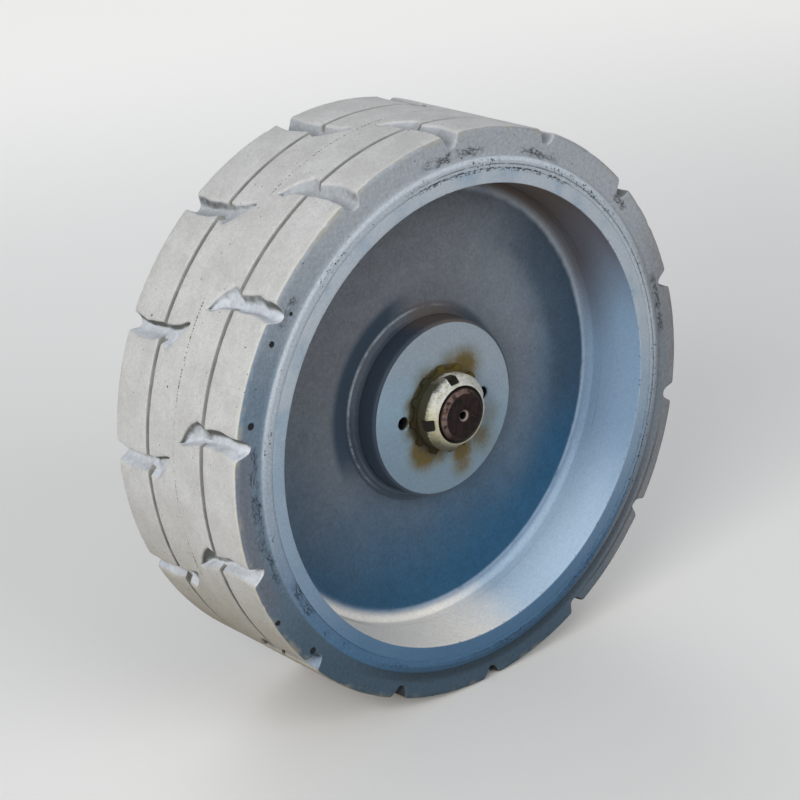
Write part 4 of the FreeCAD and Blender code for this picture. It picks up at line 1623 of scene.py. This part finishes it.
    def weather(self, piece: Piece) -> None:
        """Wears the tread and chips its edges.

        Args:
            piece: the tyre.
        """
        middle = self.span.middle * MM
        for vertex in piece.data.vertices:
            place = vertex.co
            dip = self.dips.depth * (0.5 + 0.5 * self.dips.level(place))
            grain = self.grain.depth * (0.5 + 0.5 * self.grain.level(place))
            from_edge = abs(abs(place.y - middle) / MM - self.width / 2.0)
            share = 1.0 if from_edge < self.edge_reach else self.inner_share
            chip = self.chips.depth * max(0.0, self.chips.level(place) - self.chip_level) * share
            reach = math.hypot(place.x, place.z)
            deep = min(1.0, max(0.0, (self.tread - reach / MM - self.lump_depth) / 2.0))
            lump = self.lumps.depth * deep * self.lumps.level(place)
            loss = (dip + grain + chip + lump) * MM
            if reach > self.pull_radius * MM:
                vertex.co.x *= 1.0 - loss / reach
                vertex.co.z *= 1.0 - loss / reach
            elif abs(reach / MM - self.bore - self.lip_width) < self.edge_reach:
                dent = self.lip_dents.depth * max(0.0, self.lip_dents.level(place)) * MM
                vertex.co.y += dent if place.y < middle else -dent

    def build(self) -> None:
        """Makes the tyre and dresses it."""
        piece = turned_grid("grey_tyre", *self.sheet())
        self.weather(piece)
        soften(piece, 50.0)
        finish = TyreRubber(self.tread, self.span.middle, self.width / 2.0, self.groove_place,
                            self.bore + self.lip_width, self.bore)
        install(piece, Body.WHEEL, "tyre", finish.material())


@dataclass
class PaintedWheel:
    """The rim band, disc, boss and weld, which share one coat of paint."""

    band: Span
    disc: Span
    boss: Span
    weld: Span
    band_thickness: float = 9.5
    draft: float = 3.0
    disc_thickness: float = 12.0
    fillet: float = 10.0
    dip_depth: float = 4.0
    dip_floor: float = 7.0
    dip_run: float = 17.0
    boss_chamfer: float = 2.3
    tail_radius: float = 42.0
    tail_length: float = 22.0
    bore: float = 25.2
    tail_bore: float = JOURNAL_BORE
    puller_place: float = 34.5
    puller_radius: float = 4.4
    puller_depth: float = 22.0
    puller_chamfer: float = 0.7
    columns: int = 256
    band_wear: Wear = Wear(34.0, 0.22, (3.0, 3.0, 3.0))
    disc_wear: Wear = Wear(55.0, 0.35, (5.0, 5.0, 5.0))
    weld_columns: int = 420
    weld_beads: float = 75.0

    @property
    def web_y(self) -> float:
        """The plane of the disc's flat outer face."""
        return self.disc.start + self.fillet

    @property
    def dip_edge(self) -> float:
        """The radius at which the dip round the boss begins."""
        return self.boss.radius + self.dip_floor + self.dip_run

    @property
    def web_back_y(self) -> float:
        """The plane of the disc's flat inner face."""
        return self.web_y + self.disc_thickness

    def rim_band(self) -> Piece:
        """The steel band, drafted towards the disc from both edges.

        Returns:
            The piece.
        """
        outer = self.band.radius - SKIN
        edge = self.band.radius - self.band_thickness
        throat = edge - self.draft
        piece = turned("painted_band", [
            Corner(edge, self.band.start, 0.9), Corner(outer, self.band.start, 0.25),
            Corner(outer, self.band.end, 0.25), Corner(edge, self.band.end, 0.9),
            Corner(throat, self.web_back_y + self.fillet, 6.0),
            Corner(throat, self.web_y - self.fillet, 6.0),
        ], 3.0, self.columns)
        roughen(piece, self.band_wear)
        return piece

    def wheel_disc(self) -> Piece:
        """The dished disc with a shallow dip round the boss.

        Returns:
            The piece.
        """
        outer = self.disc.radius
        hole = self.boss.radius + SKIN
        floor = self.boss.radius + self.dip_floor
        piece = turned("painted_disc", [
            Corner(hole, self.web_y + self.dip_depth), Corner(floor, self.web_y + self.dip_depth, 20.0),
            Corner(self.dip_edge, self.web_y, 40.0), Corner(outer - 0.15, self.web_y, self.fillet),
            Corner(outer, self.web_y - self.fillet), Corner(outer, self.web_back_y + self.fillet),
            Corner(outer - 0.15, self.web_back_y, self.fillet),
            Corner(self.dip_edge, self.web_back_y, 40.0),
            Corner(floor, self.web_back_y + self.dip_depth, 20.0),
            Corner(hole, self.web_back_y + self.dip_depth),
        ], 3.0, self.columns)
        roughen(piece, self.disc_wear)
        return piece

    def hub_boss(self) -> Piece:
        """The boss with its two puller holes.

        Returns:
            The piece.
        """
        tail_y = self.boss.end - self.tail_length
        piece = turned("painted_boss", [
            Corner(self.bore, self.boss.start, 0.6),
            Corner(self.boss.radius, self.boss.start, self.boss_chamfer),
            Corner(self.boss.radius, tail_y, 1.5),
            Corner(self.tail_radius, tail_y + (self.boss.radius - self.tail_radius) / 2.0, 4.0),
            Corner(self.tail_radius, self.boss.end, 1.2), Corner(self.tail_bore, self.boss.end, 0.6),
        ], 3.0, 128)
        tools = []
        for side in (-1.0, 1.0):
            mouth = self.puller_radius + self.puller_chamfer
            tools.append(turned("puller_drill", [
                Corner(0.0, self.boss.start - 1.0), Corner(mouth, self.boss.start - 1.0),
                Corner(mouth, self.boss.start),
                Corner(self.puller_radius, self.boss.start + self.puller_chamfer),
                Corner(self.puller_radius, self.boss.start + self.puller_depth),
                Corner(0.0, self.boss.start + self.puller_depth + self.puller_radius / 2.0),
            ], 40.0, 32, closed=False, centre=(side * self.puller_place, 0.0)))
        carve(piece, tools)
        return piece

    def boss_weld(self) -> Piece:
        """The weld between boss and disc, a little uneven under the paint.

        Returns:
            The piece.
        """
        inner = self.boss.radius + SKIN
        foot = self.weld.end
        leg = self.weld.end - self.weld.start
        corners = [
            Corner(inner, foot), Corner(self.weld.radius - 0.3, foot),
            Corner(self.weld.radius - leg / 2.0, foot - leg / 4.0, 5.0), Corner(inner, foot - leg, 0.5),
        ]
        points = outline(corners, 0.8)
        angle = whole_turn(self.weld_columns)
        wobble = np.array([noise.noise((math.cos(turn) * 6.0, math.sin(turn) * 6.0, 0.0)) for turn in angle])
        ripple = 0.5 + 0.5 * np.cos(angle * self.weld_beads + wobble * 16.0)
        height = np.clip((foot - points[:, 1:]) / leg, 0.0, 1.0)
        free = np.clip((points[:, :1] - inner) / 1.5, 0.0, 1.0) * (height > 0.02)
        radius = points[:, :1] - free * (0.1 * ripple + 0.7 * np.abs(wobble))
        y = points[:, 1:] + height * (0.08 * ripple + 0.5 * np.abs(wobble))
        return turned_grid("weld_ring", radius, y, np.ones((len(points), 1)) * angle)

    def build(self) -> None:
        """Makes the four pieces and paints them."""
        finish = WheelPaint(
            face_y=self.boss.start, web_y=self.web_y, ring_y=self.band.start, boss=self.boss.radius,
            weld=self.weld.radius, dip_edge=self.dip_edge, barrel=self.disc.radius,
            joint=self.band.radius, edge=self.band.radius - self.band_thickness).material()
        fit_out(Body.WHEEL, finish, {
            "rim_band": self.rim_band(), "wheel_disc": self.wheel_disc(),
            "hub_boss": self.hub_boss(), "boss_weld": self.boss_weld()})


@dataclass
class ShaftEnd:
    """The axle shaft with the key, washer and nut that hold the wheel on it."""

    shaft: Span
    washer: Span
    nut: Span
    boss: Span
    thread: float = 17.9
    chamfer: float = 3.0
    hole: float = 2.5
    hole_depth: float = 7.0
    hole_cone: float = 4.2
    taper_ratio: float = 0.05
    taper_setback: float = 3.0
    nut_chamfer: float = 5.8
    nut_face: float = 19.6
    nut_bore_chamfer: float = 1.7
    slot_width: float = 8.0
    slot_depth: float = 5.0
    slot_length: float = 10.4
    slot_count: int = 4
    slot_angle: float = 94.0
    washer_body: float = 27.0
    tab_count: int = 12
    tab_width: float = 5.0
    # A tab's outline: share of its half width, share of its height
    tab: Rows = (
        (-1.6, 0.0), (-1.0, 0.25), (-0.9, 0.85), (-0.6, 1.0), (0.6, 1.0), (0.9, 0.85), (1.0, 0.25),
        (1.6, 0.0))

    def axle_shaft(self) -> Piece:
        """The shaft from its threaded end to its tail.

        Returns:
            The piece.
        """
        end = self.shaft.start
        journal = self.shaft.radius - SKIN
        seat_top = self.boss.start + self.taper_setback
        seat_radius = journal - self.taper_ratio * (self.boss.end - seat_top)
        face_edge = self.thread - self.chamfer
        return turned("shaft_end", [
            Corner(0.0, end + self.hole_depth + self.hole), Corner(self.hole, end + self.hole_depth),
            Corner(self.hole, end + self.hole_cone - self.hole, 0.2), Corner(self.hole_cone, end, 0.4),
            Corner(face_edge, end, 0.6), Corner(self.thread, end + self.chamfer, 0.5),
            Corner(self.thread, seat_top), Corner(seat_radius, seat_top, 0.5),
            Corner(journal, self.boss.end, 0.5), Corner(journal, self.shaft.end, 1.0),
            Corner(0.0, self.shaft.end),
        ], 2.5, 96, closed=False)

    def slotted_nut(self) -> Piece:
        """The round nut with its rounded slots.

        Returns:
            The piece.
        """
        bore = self.thread + SKIN
        radius = self.nut.radius
        piece = turned("ring_nut", [
            Corner(bore, self.nut.start + self.nut_bore_chamfer),
            Corner(bore + self.nut_bore_chamfer, self.nut.start, 0.2),
            Corner(self.nut_face + 0.5, self.nut.start, 0.4),
            Corner(radius, self.nut.start + self.nut_chamfer, 0.9), Corner(radius, self.nut.end, 0.4),
            Corner(bore, self.nut.end),
        ], 2.0, 128)
        tools = []
        for k in range(self.slot_count):
            tool = bar("slot_mill", self.slot_width / 2.0, radius - self.slot_depth, radius + 4.0,
                       self.nut.start - 4.0, self.nut.start + self.slot_length)
            ease_edges(tool, 1.0, 3)
            tools.append(spun(tool, self.slot_angle - 90.0 + 360.0 * k / self.slot_count))
        carve(piece, tools)
        ease_edges(piece, 0.35, 2, 40.0)
        return piece

    def tab_washer(self) -> Piece:
        """The washer with rounded flat tabs.

        Returns:
            The piece.
        """
        inner = ring_points(96, self.thread + SKIN)
        outer = []
        tab_half = math.degrees(self.tab_width / 2.0 / self.washer_body)
        for k in range(self.tab_count):
            middle = self.slot_angle + 360.0 * k / self.tab_count
            for turn, reach in self.tab:
                angle = math.radians(middle + turn * tab_half)
                radius = self.washer_body + reach * (self.washer.radius - self.washer_body)
                outer.append((radius * math.cos(angle), radius * math.sin(angle)))
        piece = prism("locking_washer", outer, self.washer.start, self.washer.end)
        drill = prism("washer_drill", inner, self.washer.start - 1.0, self.washer.end + 1.0)
        carve(piece, [drill])
        ease_edges(piece, 0.4, 2, 40.0)
        return piece

    def build(self, key: Piece) -> None:
        """Makes the pieces and dresses them, with the hidden key as it is.

        Args:
            key: the key's CAD object.
        """
        face_edge = self.thread - self.chamfer
        steel = ShaftSteel(self.shaft.start, face_edge, self.hole, self.boss.end - 6.0).material()
        slope = (self.nut.radius - self.nut_face) / self.nut_chamfer
        plating = NutPlating(self.nut.start, self.nut_face, slope, self.nut.radius, self.thread).material()
        fit_out(Body.WHEEL, steel, {"axle_shaft": self.axle_shaft()})
        fit_out(Body.WHEEL, plating, {
            "slotted_nut": self.slotted_nut(), "tab_washer": self.tab_washer()})
        key.data.materials.clear()
        key.data.materials.append(steel)


@dataclass
class Hub:
    """The cast flange with its bearing nose, ribs and pilot, and the shaft's seal."""

    housing: Span
    seal: Span
    flange_half: float = 75.0
    corner: float = 24.0
    flange_thickness: float = 18.0
    nose: float = 50.0
    root: float = 56.0
    bore: float = JOURNAL_BORE
    pilot: float = 63.5
    rib_count: int = 8
    rib_half: float = 4.0
    rib_reach: float = 66.0
    rib_bite: float = 6.0           # how deep a rib stands in the nose
    bolt_place: float = 73.8
    bolt_hole: float = 7.15
    bolt_seat: float = 14.0
    seat_depth: float = 1.0
    seal_seat: float = 40.05

    def flange(self) -> Piece:
        """The square flange with rounded corners.

        Returns:
            The piece.
        """
        corners = []
        centre = self.flange_half - self.corner
        for quarter, (side_x, side_z) in enumerate(((1, 1), (-1, 1), (-1, -1), (1, -1))):
            for k in range(9):
                angle = math.radians(90.0 * quarter + 90.0 * k / 8)
                corners.append((side_x * centre + self.corner * math.cos(angle),
                                side_z * centre + self.corner * math.sin(angle)))
        return prism("cast_hub", corners, -self.flange_thickness, 0.0)

    def ribs(self) -> list[Piece]:
        """The gussets between nose and flange.

        Returns:
            The pieces.
        """
        start = (self.housing.start - self.flange_thickness) / 2.0
        ribs = []
        for k in range(self.rib_count):
            rib = bar("hub_rib", self.rib_half, self.nose - self.rib_bite, self.rib_reach,
                      start, -self.flange_thickness + 1.0)
            ribs.append(spun(rib, 360.0 * (k + 0.5) / self.rib_count))
        return ribs

    def hub_housing(self) -> Piece:
        """The casting with its machined seats and bolt holes.

        Returns:
            The piece.
        """
        piece = self.flange()
        nose = turned("hub_nose", [
            Corner(self.bore, self.housing.start, 0.6), Corner(self.nose, self.housing.start, 2.5),
            Corner(self.root, -self.flange_thickness, 2.0),
            Corner(self.pilot - 1.0, -self.flange_thickness + 2.0), Corner(self.pilot - 1.0, -1.0),
            Corner(self.pilot, 0.0), Corner(self.pilot, self.housing.end, 1.0),
            Corner(self.bore, self.housing.end, 0.6),
        ], 6.0, 96)
        carve(piece, [nose] + self.ribs(), Carving.JOIN)
        front = self.housing.start - 1.0
        tools = [prism("bore_drill", ring_points(96, self.bore), front, self.housing.end + 1.0),
                 prism("seal_drill", ring_points(96, self.seal_seat), front, self.seal.end)]
        for k in range(4):
            for reach, depth in ((self.bolt_hole, 40.0), (self.bolt_seat, self.seat_depth)):
                drill = turned("bolt_drill", [
                    Corner(0.0, -self.flange_thickness - 2.0),
                    Corner(reach, -self.flange_thickness - 2.0),
                    Corner(reach, -self.flange_thickness + depth),
                    Corner(0.0, -self.flange_thickness + depth),
                ], 60.0, 40, closed=False, centre=(self.bolt_place, 0.0))
                tools.append(spun(drill, 90.0 * k + 45.0))
        carve(piece, tools)
        ease_edges(piece, 1.1, 3, 38.0)
        return piece

    def shaft_seal(self) -> Piece:
        """The lip seal in the nose.

        Returns:
            The piece.
        """
        return turned("lip_seal", [
            Corner(self.bore, self.seal.start + 1.4),
            Corner(self.bore + 1.2, self.seal.start + 0.2, 0.3),
            Corner(self.bore + 3.2, self.seal.start + 0.2, 0.4),
            Corner(self.bore + 4.2, self.seal.start + 1.3, 0.5),
            Corner(self.seal_seat - 3.4, self.seal.start + 1.3, 0.5),
            Corner(self.seal_seat - 2.6, self.seal.start, 0.4),
            Corner(self.seal_seat - 0.1, self.seal.start, 0.5),
            Corner(self.seal_seat - 0.1, self.seal.end), Corner(self.bore, self.seal.end),
        ], 2.0, 128)

    def build(self, casting: Material) -> None:
        """Makes the casting and the seal and dresses them.

        Args:
            casting: the black casting finish.
        """
        fit_out(Body.HUB, casting, {"hub_housing": self.hub_housing()})
        fit_out(Body.HUB, SealRubber().material(), {"shaft_seal": self.shaft_seal()})


@dataclass
class Brake:
    """The brake body, its cover with bolts, and the two connections in the cover's dish."""

    body: Span
    cover: Span
    bolts: Span
    fitting: Span
    screw: Span
    bore: float = JOURNAL_BORE
    bore_length: float = 44.0
    seam_place: float = 12.0        # from either end of the body
    seam_depth: float = 0.9
    cover_thickness: float = 14.0
    dish: float = 34.0
    dish_depth: float = 5.0
    port_place: float = 19.0
    port_boss: float = 13.0
    port_height: float = 8.0
    bolt_place: float = 50.0
    bolt_half: float = 7.5
    bolt_count: int = 6
    fitting_half: float = 11.0
    fitting_hex: float = 10.0
    pipe: float = 6.5
    thread_pitch: float = 1.5
    thread_height: float = 0.7
    screw_half: float = 5.0
    neck: float = 3.2
    nipple: float = 4.0
    nipple_bore: float = 1.1
    screw_turn: float = 130.0

    @property
    def cover_y(self) -> float:
        """The plane of the cover's rear face."""
        return self.cover.start + self.cover_thickness

    @property
    def dish_y(self) -> float:
        """The floor of the cover's dish."""
        return self.cover_y - self.dish_depth

    def brake_housing(self) -> Piece:
        """The round body with a shallow seam at its flange and one by the cover.

        Returns:
            The piece.
        """
        radius = self.body.radius
        start = self.body.start
        end = self.body.end
        waist = radius - self.seam_depth
        return turned("brake_body", [
            Corner(self.bore, start, 0.4), Corner(radius, start, 1.5),
            Corner(radius, start + self.seam_place, 0.5),
            Corner(waist, start + self.seam_place + 1.0, 0.5),
            Corner(waist, end - self.seam_place - 1.0, 0.5), Corner(radius, end - self.seam_place, 0.5),
            Corner(radius, end, 1.2), Corner(0.0, end),
            Corner(0.0, start + self.bore_length), Corner(self.bore, start + self.bore_length, 0.4),
        ], 4.0, 128)

    def brake_cover(self) -> Piece:
        """The end cover with its dish and port boss.

        Returns:
            The piece.
        """
        piece = turned("brake_lid", [
            Corner(0.0, self.cover.start), Corner(self.cover.radius, self.cover.start, 1.2),
            Corner(self.cover.radius, self.cover_y, 2.5), Corner(self.dish + 1.0, self.cover_y, 1.2),
            Corner(self.dish, self.dish_y, 2.5), Corner(0.0, self.dish_y),
        ], 4.0, 128, closed=False)
        boss = turned("port_boss", [
            Corner(0.0, self.dish_y - 4.0), Corner(self.port_boss + 1.0, self.dish_y - 4.0),
            Corner(self.port_boss + 1.0, self.dish_y, 1.5),
            Corner(self.port_boss, self.dish_y + self.port_height, 1.2),
            Corner(0.0, self.dish_y + self.port_height),
        ], 6.0, 64, closed=False, centre=(0.0, self.port_place))
        carve(piece, [boss], Carving.JOIN)
        return piece

    @staticmethod
    def hexagon(name: str, half: float, start: float, end: float, first: float = 0.0) -> Piece:
        """A hexagon on the axle whose outer end has turned corners.

        Args:
            name: the object's name.
            half: half of its width across the flats.
            start: the seated end.
            end: the outer end.
            first: the angle of its first corner, in degrees.

        Returns:
            The object.
        """
        reach = half / math.cos(math.radians(30.0))
        piece = prism(name, ring_points(6, reach, first), start, end)
        drop = (reach - half) * 0.75
        blank = turned("hexagon_blank", [
            Corner(0.0, start - 1.0), Corner(reach + 1.0, start - 1.0),
            Corner(reach + 1.0, end - drop - 0.6), Corner(half - 0.3, end, 0.4),
            Corner(0.0, end),
        ], 60.0, 48, closed=False)
        carve(piece, [blank], Carving.KEEP)
        ease_edges(piece, 0.3, 2, 25.0)
        return piece

    def cover_bolts(self) -> Piece:
        """The six heads, each turned by its own angle.

        Returns:
            The piece.
        """
        heads = []
        for k in range(self.bolt_count):
            angle = math.radians(360.0 * (k + 0.5) / self.bolt_count)
            head = self.hexagon("cover_bolt", self.bolt_half, self.cover_y, self.bolts.end, 17.0 * k)
            heads.append(moved(head, self.bolt_place * math.cos(angle), self.bolt_place * math.sin(angle)))
        return joined("lid_bolts", heads)

    def release_fitting(self) -> Piece:
        """The adapter: a hexagon, a neck and an open threaded end.

        Returns:
            The piece.
        """
        start = self.dish_y + self.port_height
        neck = start + self.fitting_hex
        end = self.fitting.end
        base = self.hexagon("release_port", self.fitting_half, start, neck)
        crests = []
        for k in range(int((end - neck - 4.0) / self.thread_pitch)):
            y = neck + 2.5 + k * self.thread_pitch
            crests += [Corner(self.pipe - self.thread_height, y),
                       Corner(self.pipe, y + self.thread_pitch / 2.0)]
        stem = turned("port_stem", [
            Corner(0.0, neck - 2.0), Corner(self.pipe - 1.2, neck - 2.0),
            Corner(self.pipe - 1.2, neck + 2.0),
            *crests,
            Corner(self.pipe - 0.8, end - 1.2), Corner(self.pipe - 2.0, end, 0.3),
            Corner(self.pipe - 3.2, end, 0.2), Corner(self.pipe - 3.6, end - 1.0),
            Corner(self.pipe - 3.6, end - 9.0), Corner(0.0, end - 10.0),
        ], 30.0, 48, closed=False)
        carve(base, [stem], Carving.JOIN)
        return moved(base, 0.0, self.port_place)

    def bleed_screw(self) -> Piece:
        """The screw: a hexagon with a drilled nipple.

        Returns:
            The piece.
        """
        middle = self.screw.start + 0.6 * (self.screw.end - self.screw.start)
        piece = self.hexagon("bleed_nipple", self.screw_half, self.screw.start, middle)
        nipple = turned("nipple_stem", [
            Corner(0.0, middle - 2.0), Corner(self.neck + 0.4, middle - 2.0),
            Corner(self.neck, middle + 1.5, 0.4), Corner(self.nipple, self.screw.end - 2.6, 0.4),
            Corner(self.nipple - 1.0, self.screw.end, 0.5),
            Corner(self.nipple_bore + 0.1, self.screw.end, 0.3),
            Corner(self.nipple_bore, self.screw.end - 4.0), Corner(0.0, self.screw.end - 4.5),
        ], 30.0, 40, closed=False)
        carve(piece, [nipple], Carving.JOIN)
        return spun(moved(piece, 0.0, self.port_place), self.screw_turn)

    def build(self, casting: Material) -> None:
        """Makes the brake's pieces and dresses them.

        Args:
            casting: the black casting finish.
        """
        fit_out(Body.HUB, casting, {
            "brake_housing": self.brake_housing(), "brake_cover": self.brake_cover()})
        fit_out(Body.HUB, ZincSteel().material(), {
            "cover_bolts": self.cover_bolts(), "release_fitting": self.release_fitting(),
            "bleed_screw": self.bleed_screw()})


@dataclass(frozen=True)
class Lamp:
    """A square area lamp: its place, the length of its side, its power in watts and its colour."""

    name: str
    place: Place
    size: float
    power: float
    colour: Colour


@dataclass
class Studio:
    """Pale floor, soft light and the camera at the photograph's place."""

    floor_z: float
    camera_place: Place = (-0.8857, -1.1617, 0.5571)
    look_at: Place = (-0.0091, -0.08, 0.0)
    roll: float = -4.25
    lens: float = 102.0
    sensor: float = 36.0
    floor_reach: float = 30.0
    floor_colour: Colour = (0.84, 0.835, 0.82)
    floor_bounce: Colour = (0.42, 0.41, 0.39)
    fade: tuple[float, float] = (800.0, 2400.0)
    sky: Colour = (0.88, 0.91, 0.96)
    sky_strength: float = 0.3
    backdrop: Colour = (0.84, 0.84, 0.83)
    lit_point: Place = (0.0, -0.08, 0.0)
    lamps: tuple[Lamp, ...] = (
        Lamp("key", (-2.3, -1.2, 1.1), 1.6, 54.0, (1.0, 0.99, 0.97)),
        Lamp("front", (0.3, -2.6, 1.3), 1.8, 28.0, (0.95, 0.975, 1.0)),
        Lamp("rear", (1.2, 2.4, 1.3), 2.2, 34.0, (0.97, 0.98, 1.0)),
    )

    def floor(self) -> None:
        """The plain floor."""
        sides = ((-1, -1), (1, -1), (1, 1), (-1, 1))
        corners = [(x * self.floor_reach, y * self.floor_reach, self.floor_z) for x, y in sides]
        mesh = bpy.data.meshes.new("floor")
        mesh.from_pydata(corners, [], [(0, 1, 2, 3)])
        shader = Shader("floor")
        seen = shader.seen()
        colour = shader.mix(self.floor_bounce, self.floor_colour, seen)
        shader.plug(shader.surface, {"Base Color": colour, "Roughness": 0.85})
        distance = (shader.x * shader.x + shader.y * shader.y) ** 0.5
        glow = shader.node("ShaderNodeEmission", inputs={"Color": self.backdrop, "Strength": 1.0})
        faded = shader.node("ShaderNodeMixShader", inputs={
            0: distance.rise(*self.fade) * seen, 1: Wire(shader, shader.surface.outputs[0]), 2: glow})
        shader.plug(shader.ends, {"Surface": faded})
        mesh.materials.append(shader.material)
        placed("floor", mesh)

    def world(self) -> None:
        """Soft even light, with a pale background where the camera or a reflection meets it."""
        world = bpy.data.worlds.new("studio")
        bpy.context.scene.world = world
        tree = Tree(world, "ShaderNodeOutputWorld")
        lighting = tree.node("ShaderNodeBackground", inputs={
            "Color": self.sky, "Strength": self.sky_strength})
        background = tree.node("ShaderNodeBackground", inputs={"Color": self.backdrop})
        choice = tree.node("ShaderNodeMixShader", inputs={0: tree.seen(), 1: lighting, 2: background})
        tree.plug(tree.ends, {"Surface": choice})

    def hang(self, lamp: Lamp) -> None:
        """Adds a lamp that faces the wheel.

        Args:
            lamp: the lamp.
        """
        light = bpy.data.lights.new(lamp.name, "AREA")
        light.size = lamp.size
        light.energy = lamp.power
        light.color = lamp.colour
        aim(placed(lamp.name, light), lamp.place, self.lit_point)

    def camera(self) -> None:
        """The camera where the photograph was taken, turned to the wheel."""
        scene = bpy.context.scene
        data = bpy.data.cameras.new("camera")
        data.lens = self.lens
        data.sensor_width = self.sensor
        scene.camera = placed("camera", data)
        aim(scene.camera, self.camera_place, self.look_at, self.roll)
        scene.view_settings.view_transform = "Standard"

    def build(self) -> None:
        """Sets up the whole studio."""
        self.floor()
        self.world()
        for lamp in self.lamps:
            self.hang(lamp)
        self.camera()


def main() -> None:
    """Builds the wheel, the hub unit and the studio round the frame."""
    logging.basicConfig(level=logging.INFO, format="%(name)s: %(message)s")
    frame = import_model()
    span = {name: Span.of(name) for name in frame["nodes"]}
    Studio(floor_z=-span["tyre"].radius * MM).build()
    Tyre(span["tyre"], span["rim_band"].radius).build()
    PaintedWheel(span["rim_band"], span["wheel_disc"], span["hub_boss"], span["boss_weld"]).build()
    ShaftEnd(span["axle_shaft"], span["tab_washer"], span["slotted_nut"], span["hub_boss"]).build(
        frame["nodes"]["shaft_key"])
    hub = Hub(span["hub_housing"], span["shaft_seal"])
    casting = BlackCasting(0.0, -hub.flange_thickness + hub.seat_depth).material()
    hub.build(casting)
    Brake(span["brake_housing"], span["brake_cover"], span["cover_bolts"], span["release_fitting"],
          span["bleed_screw"]).build(casting)


if __name__ == "__main__":
    main()
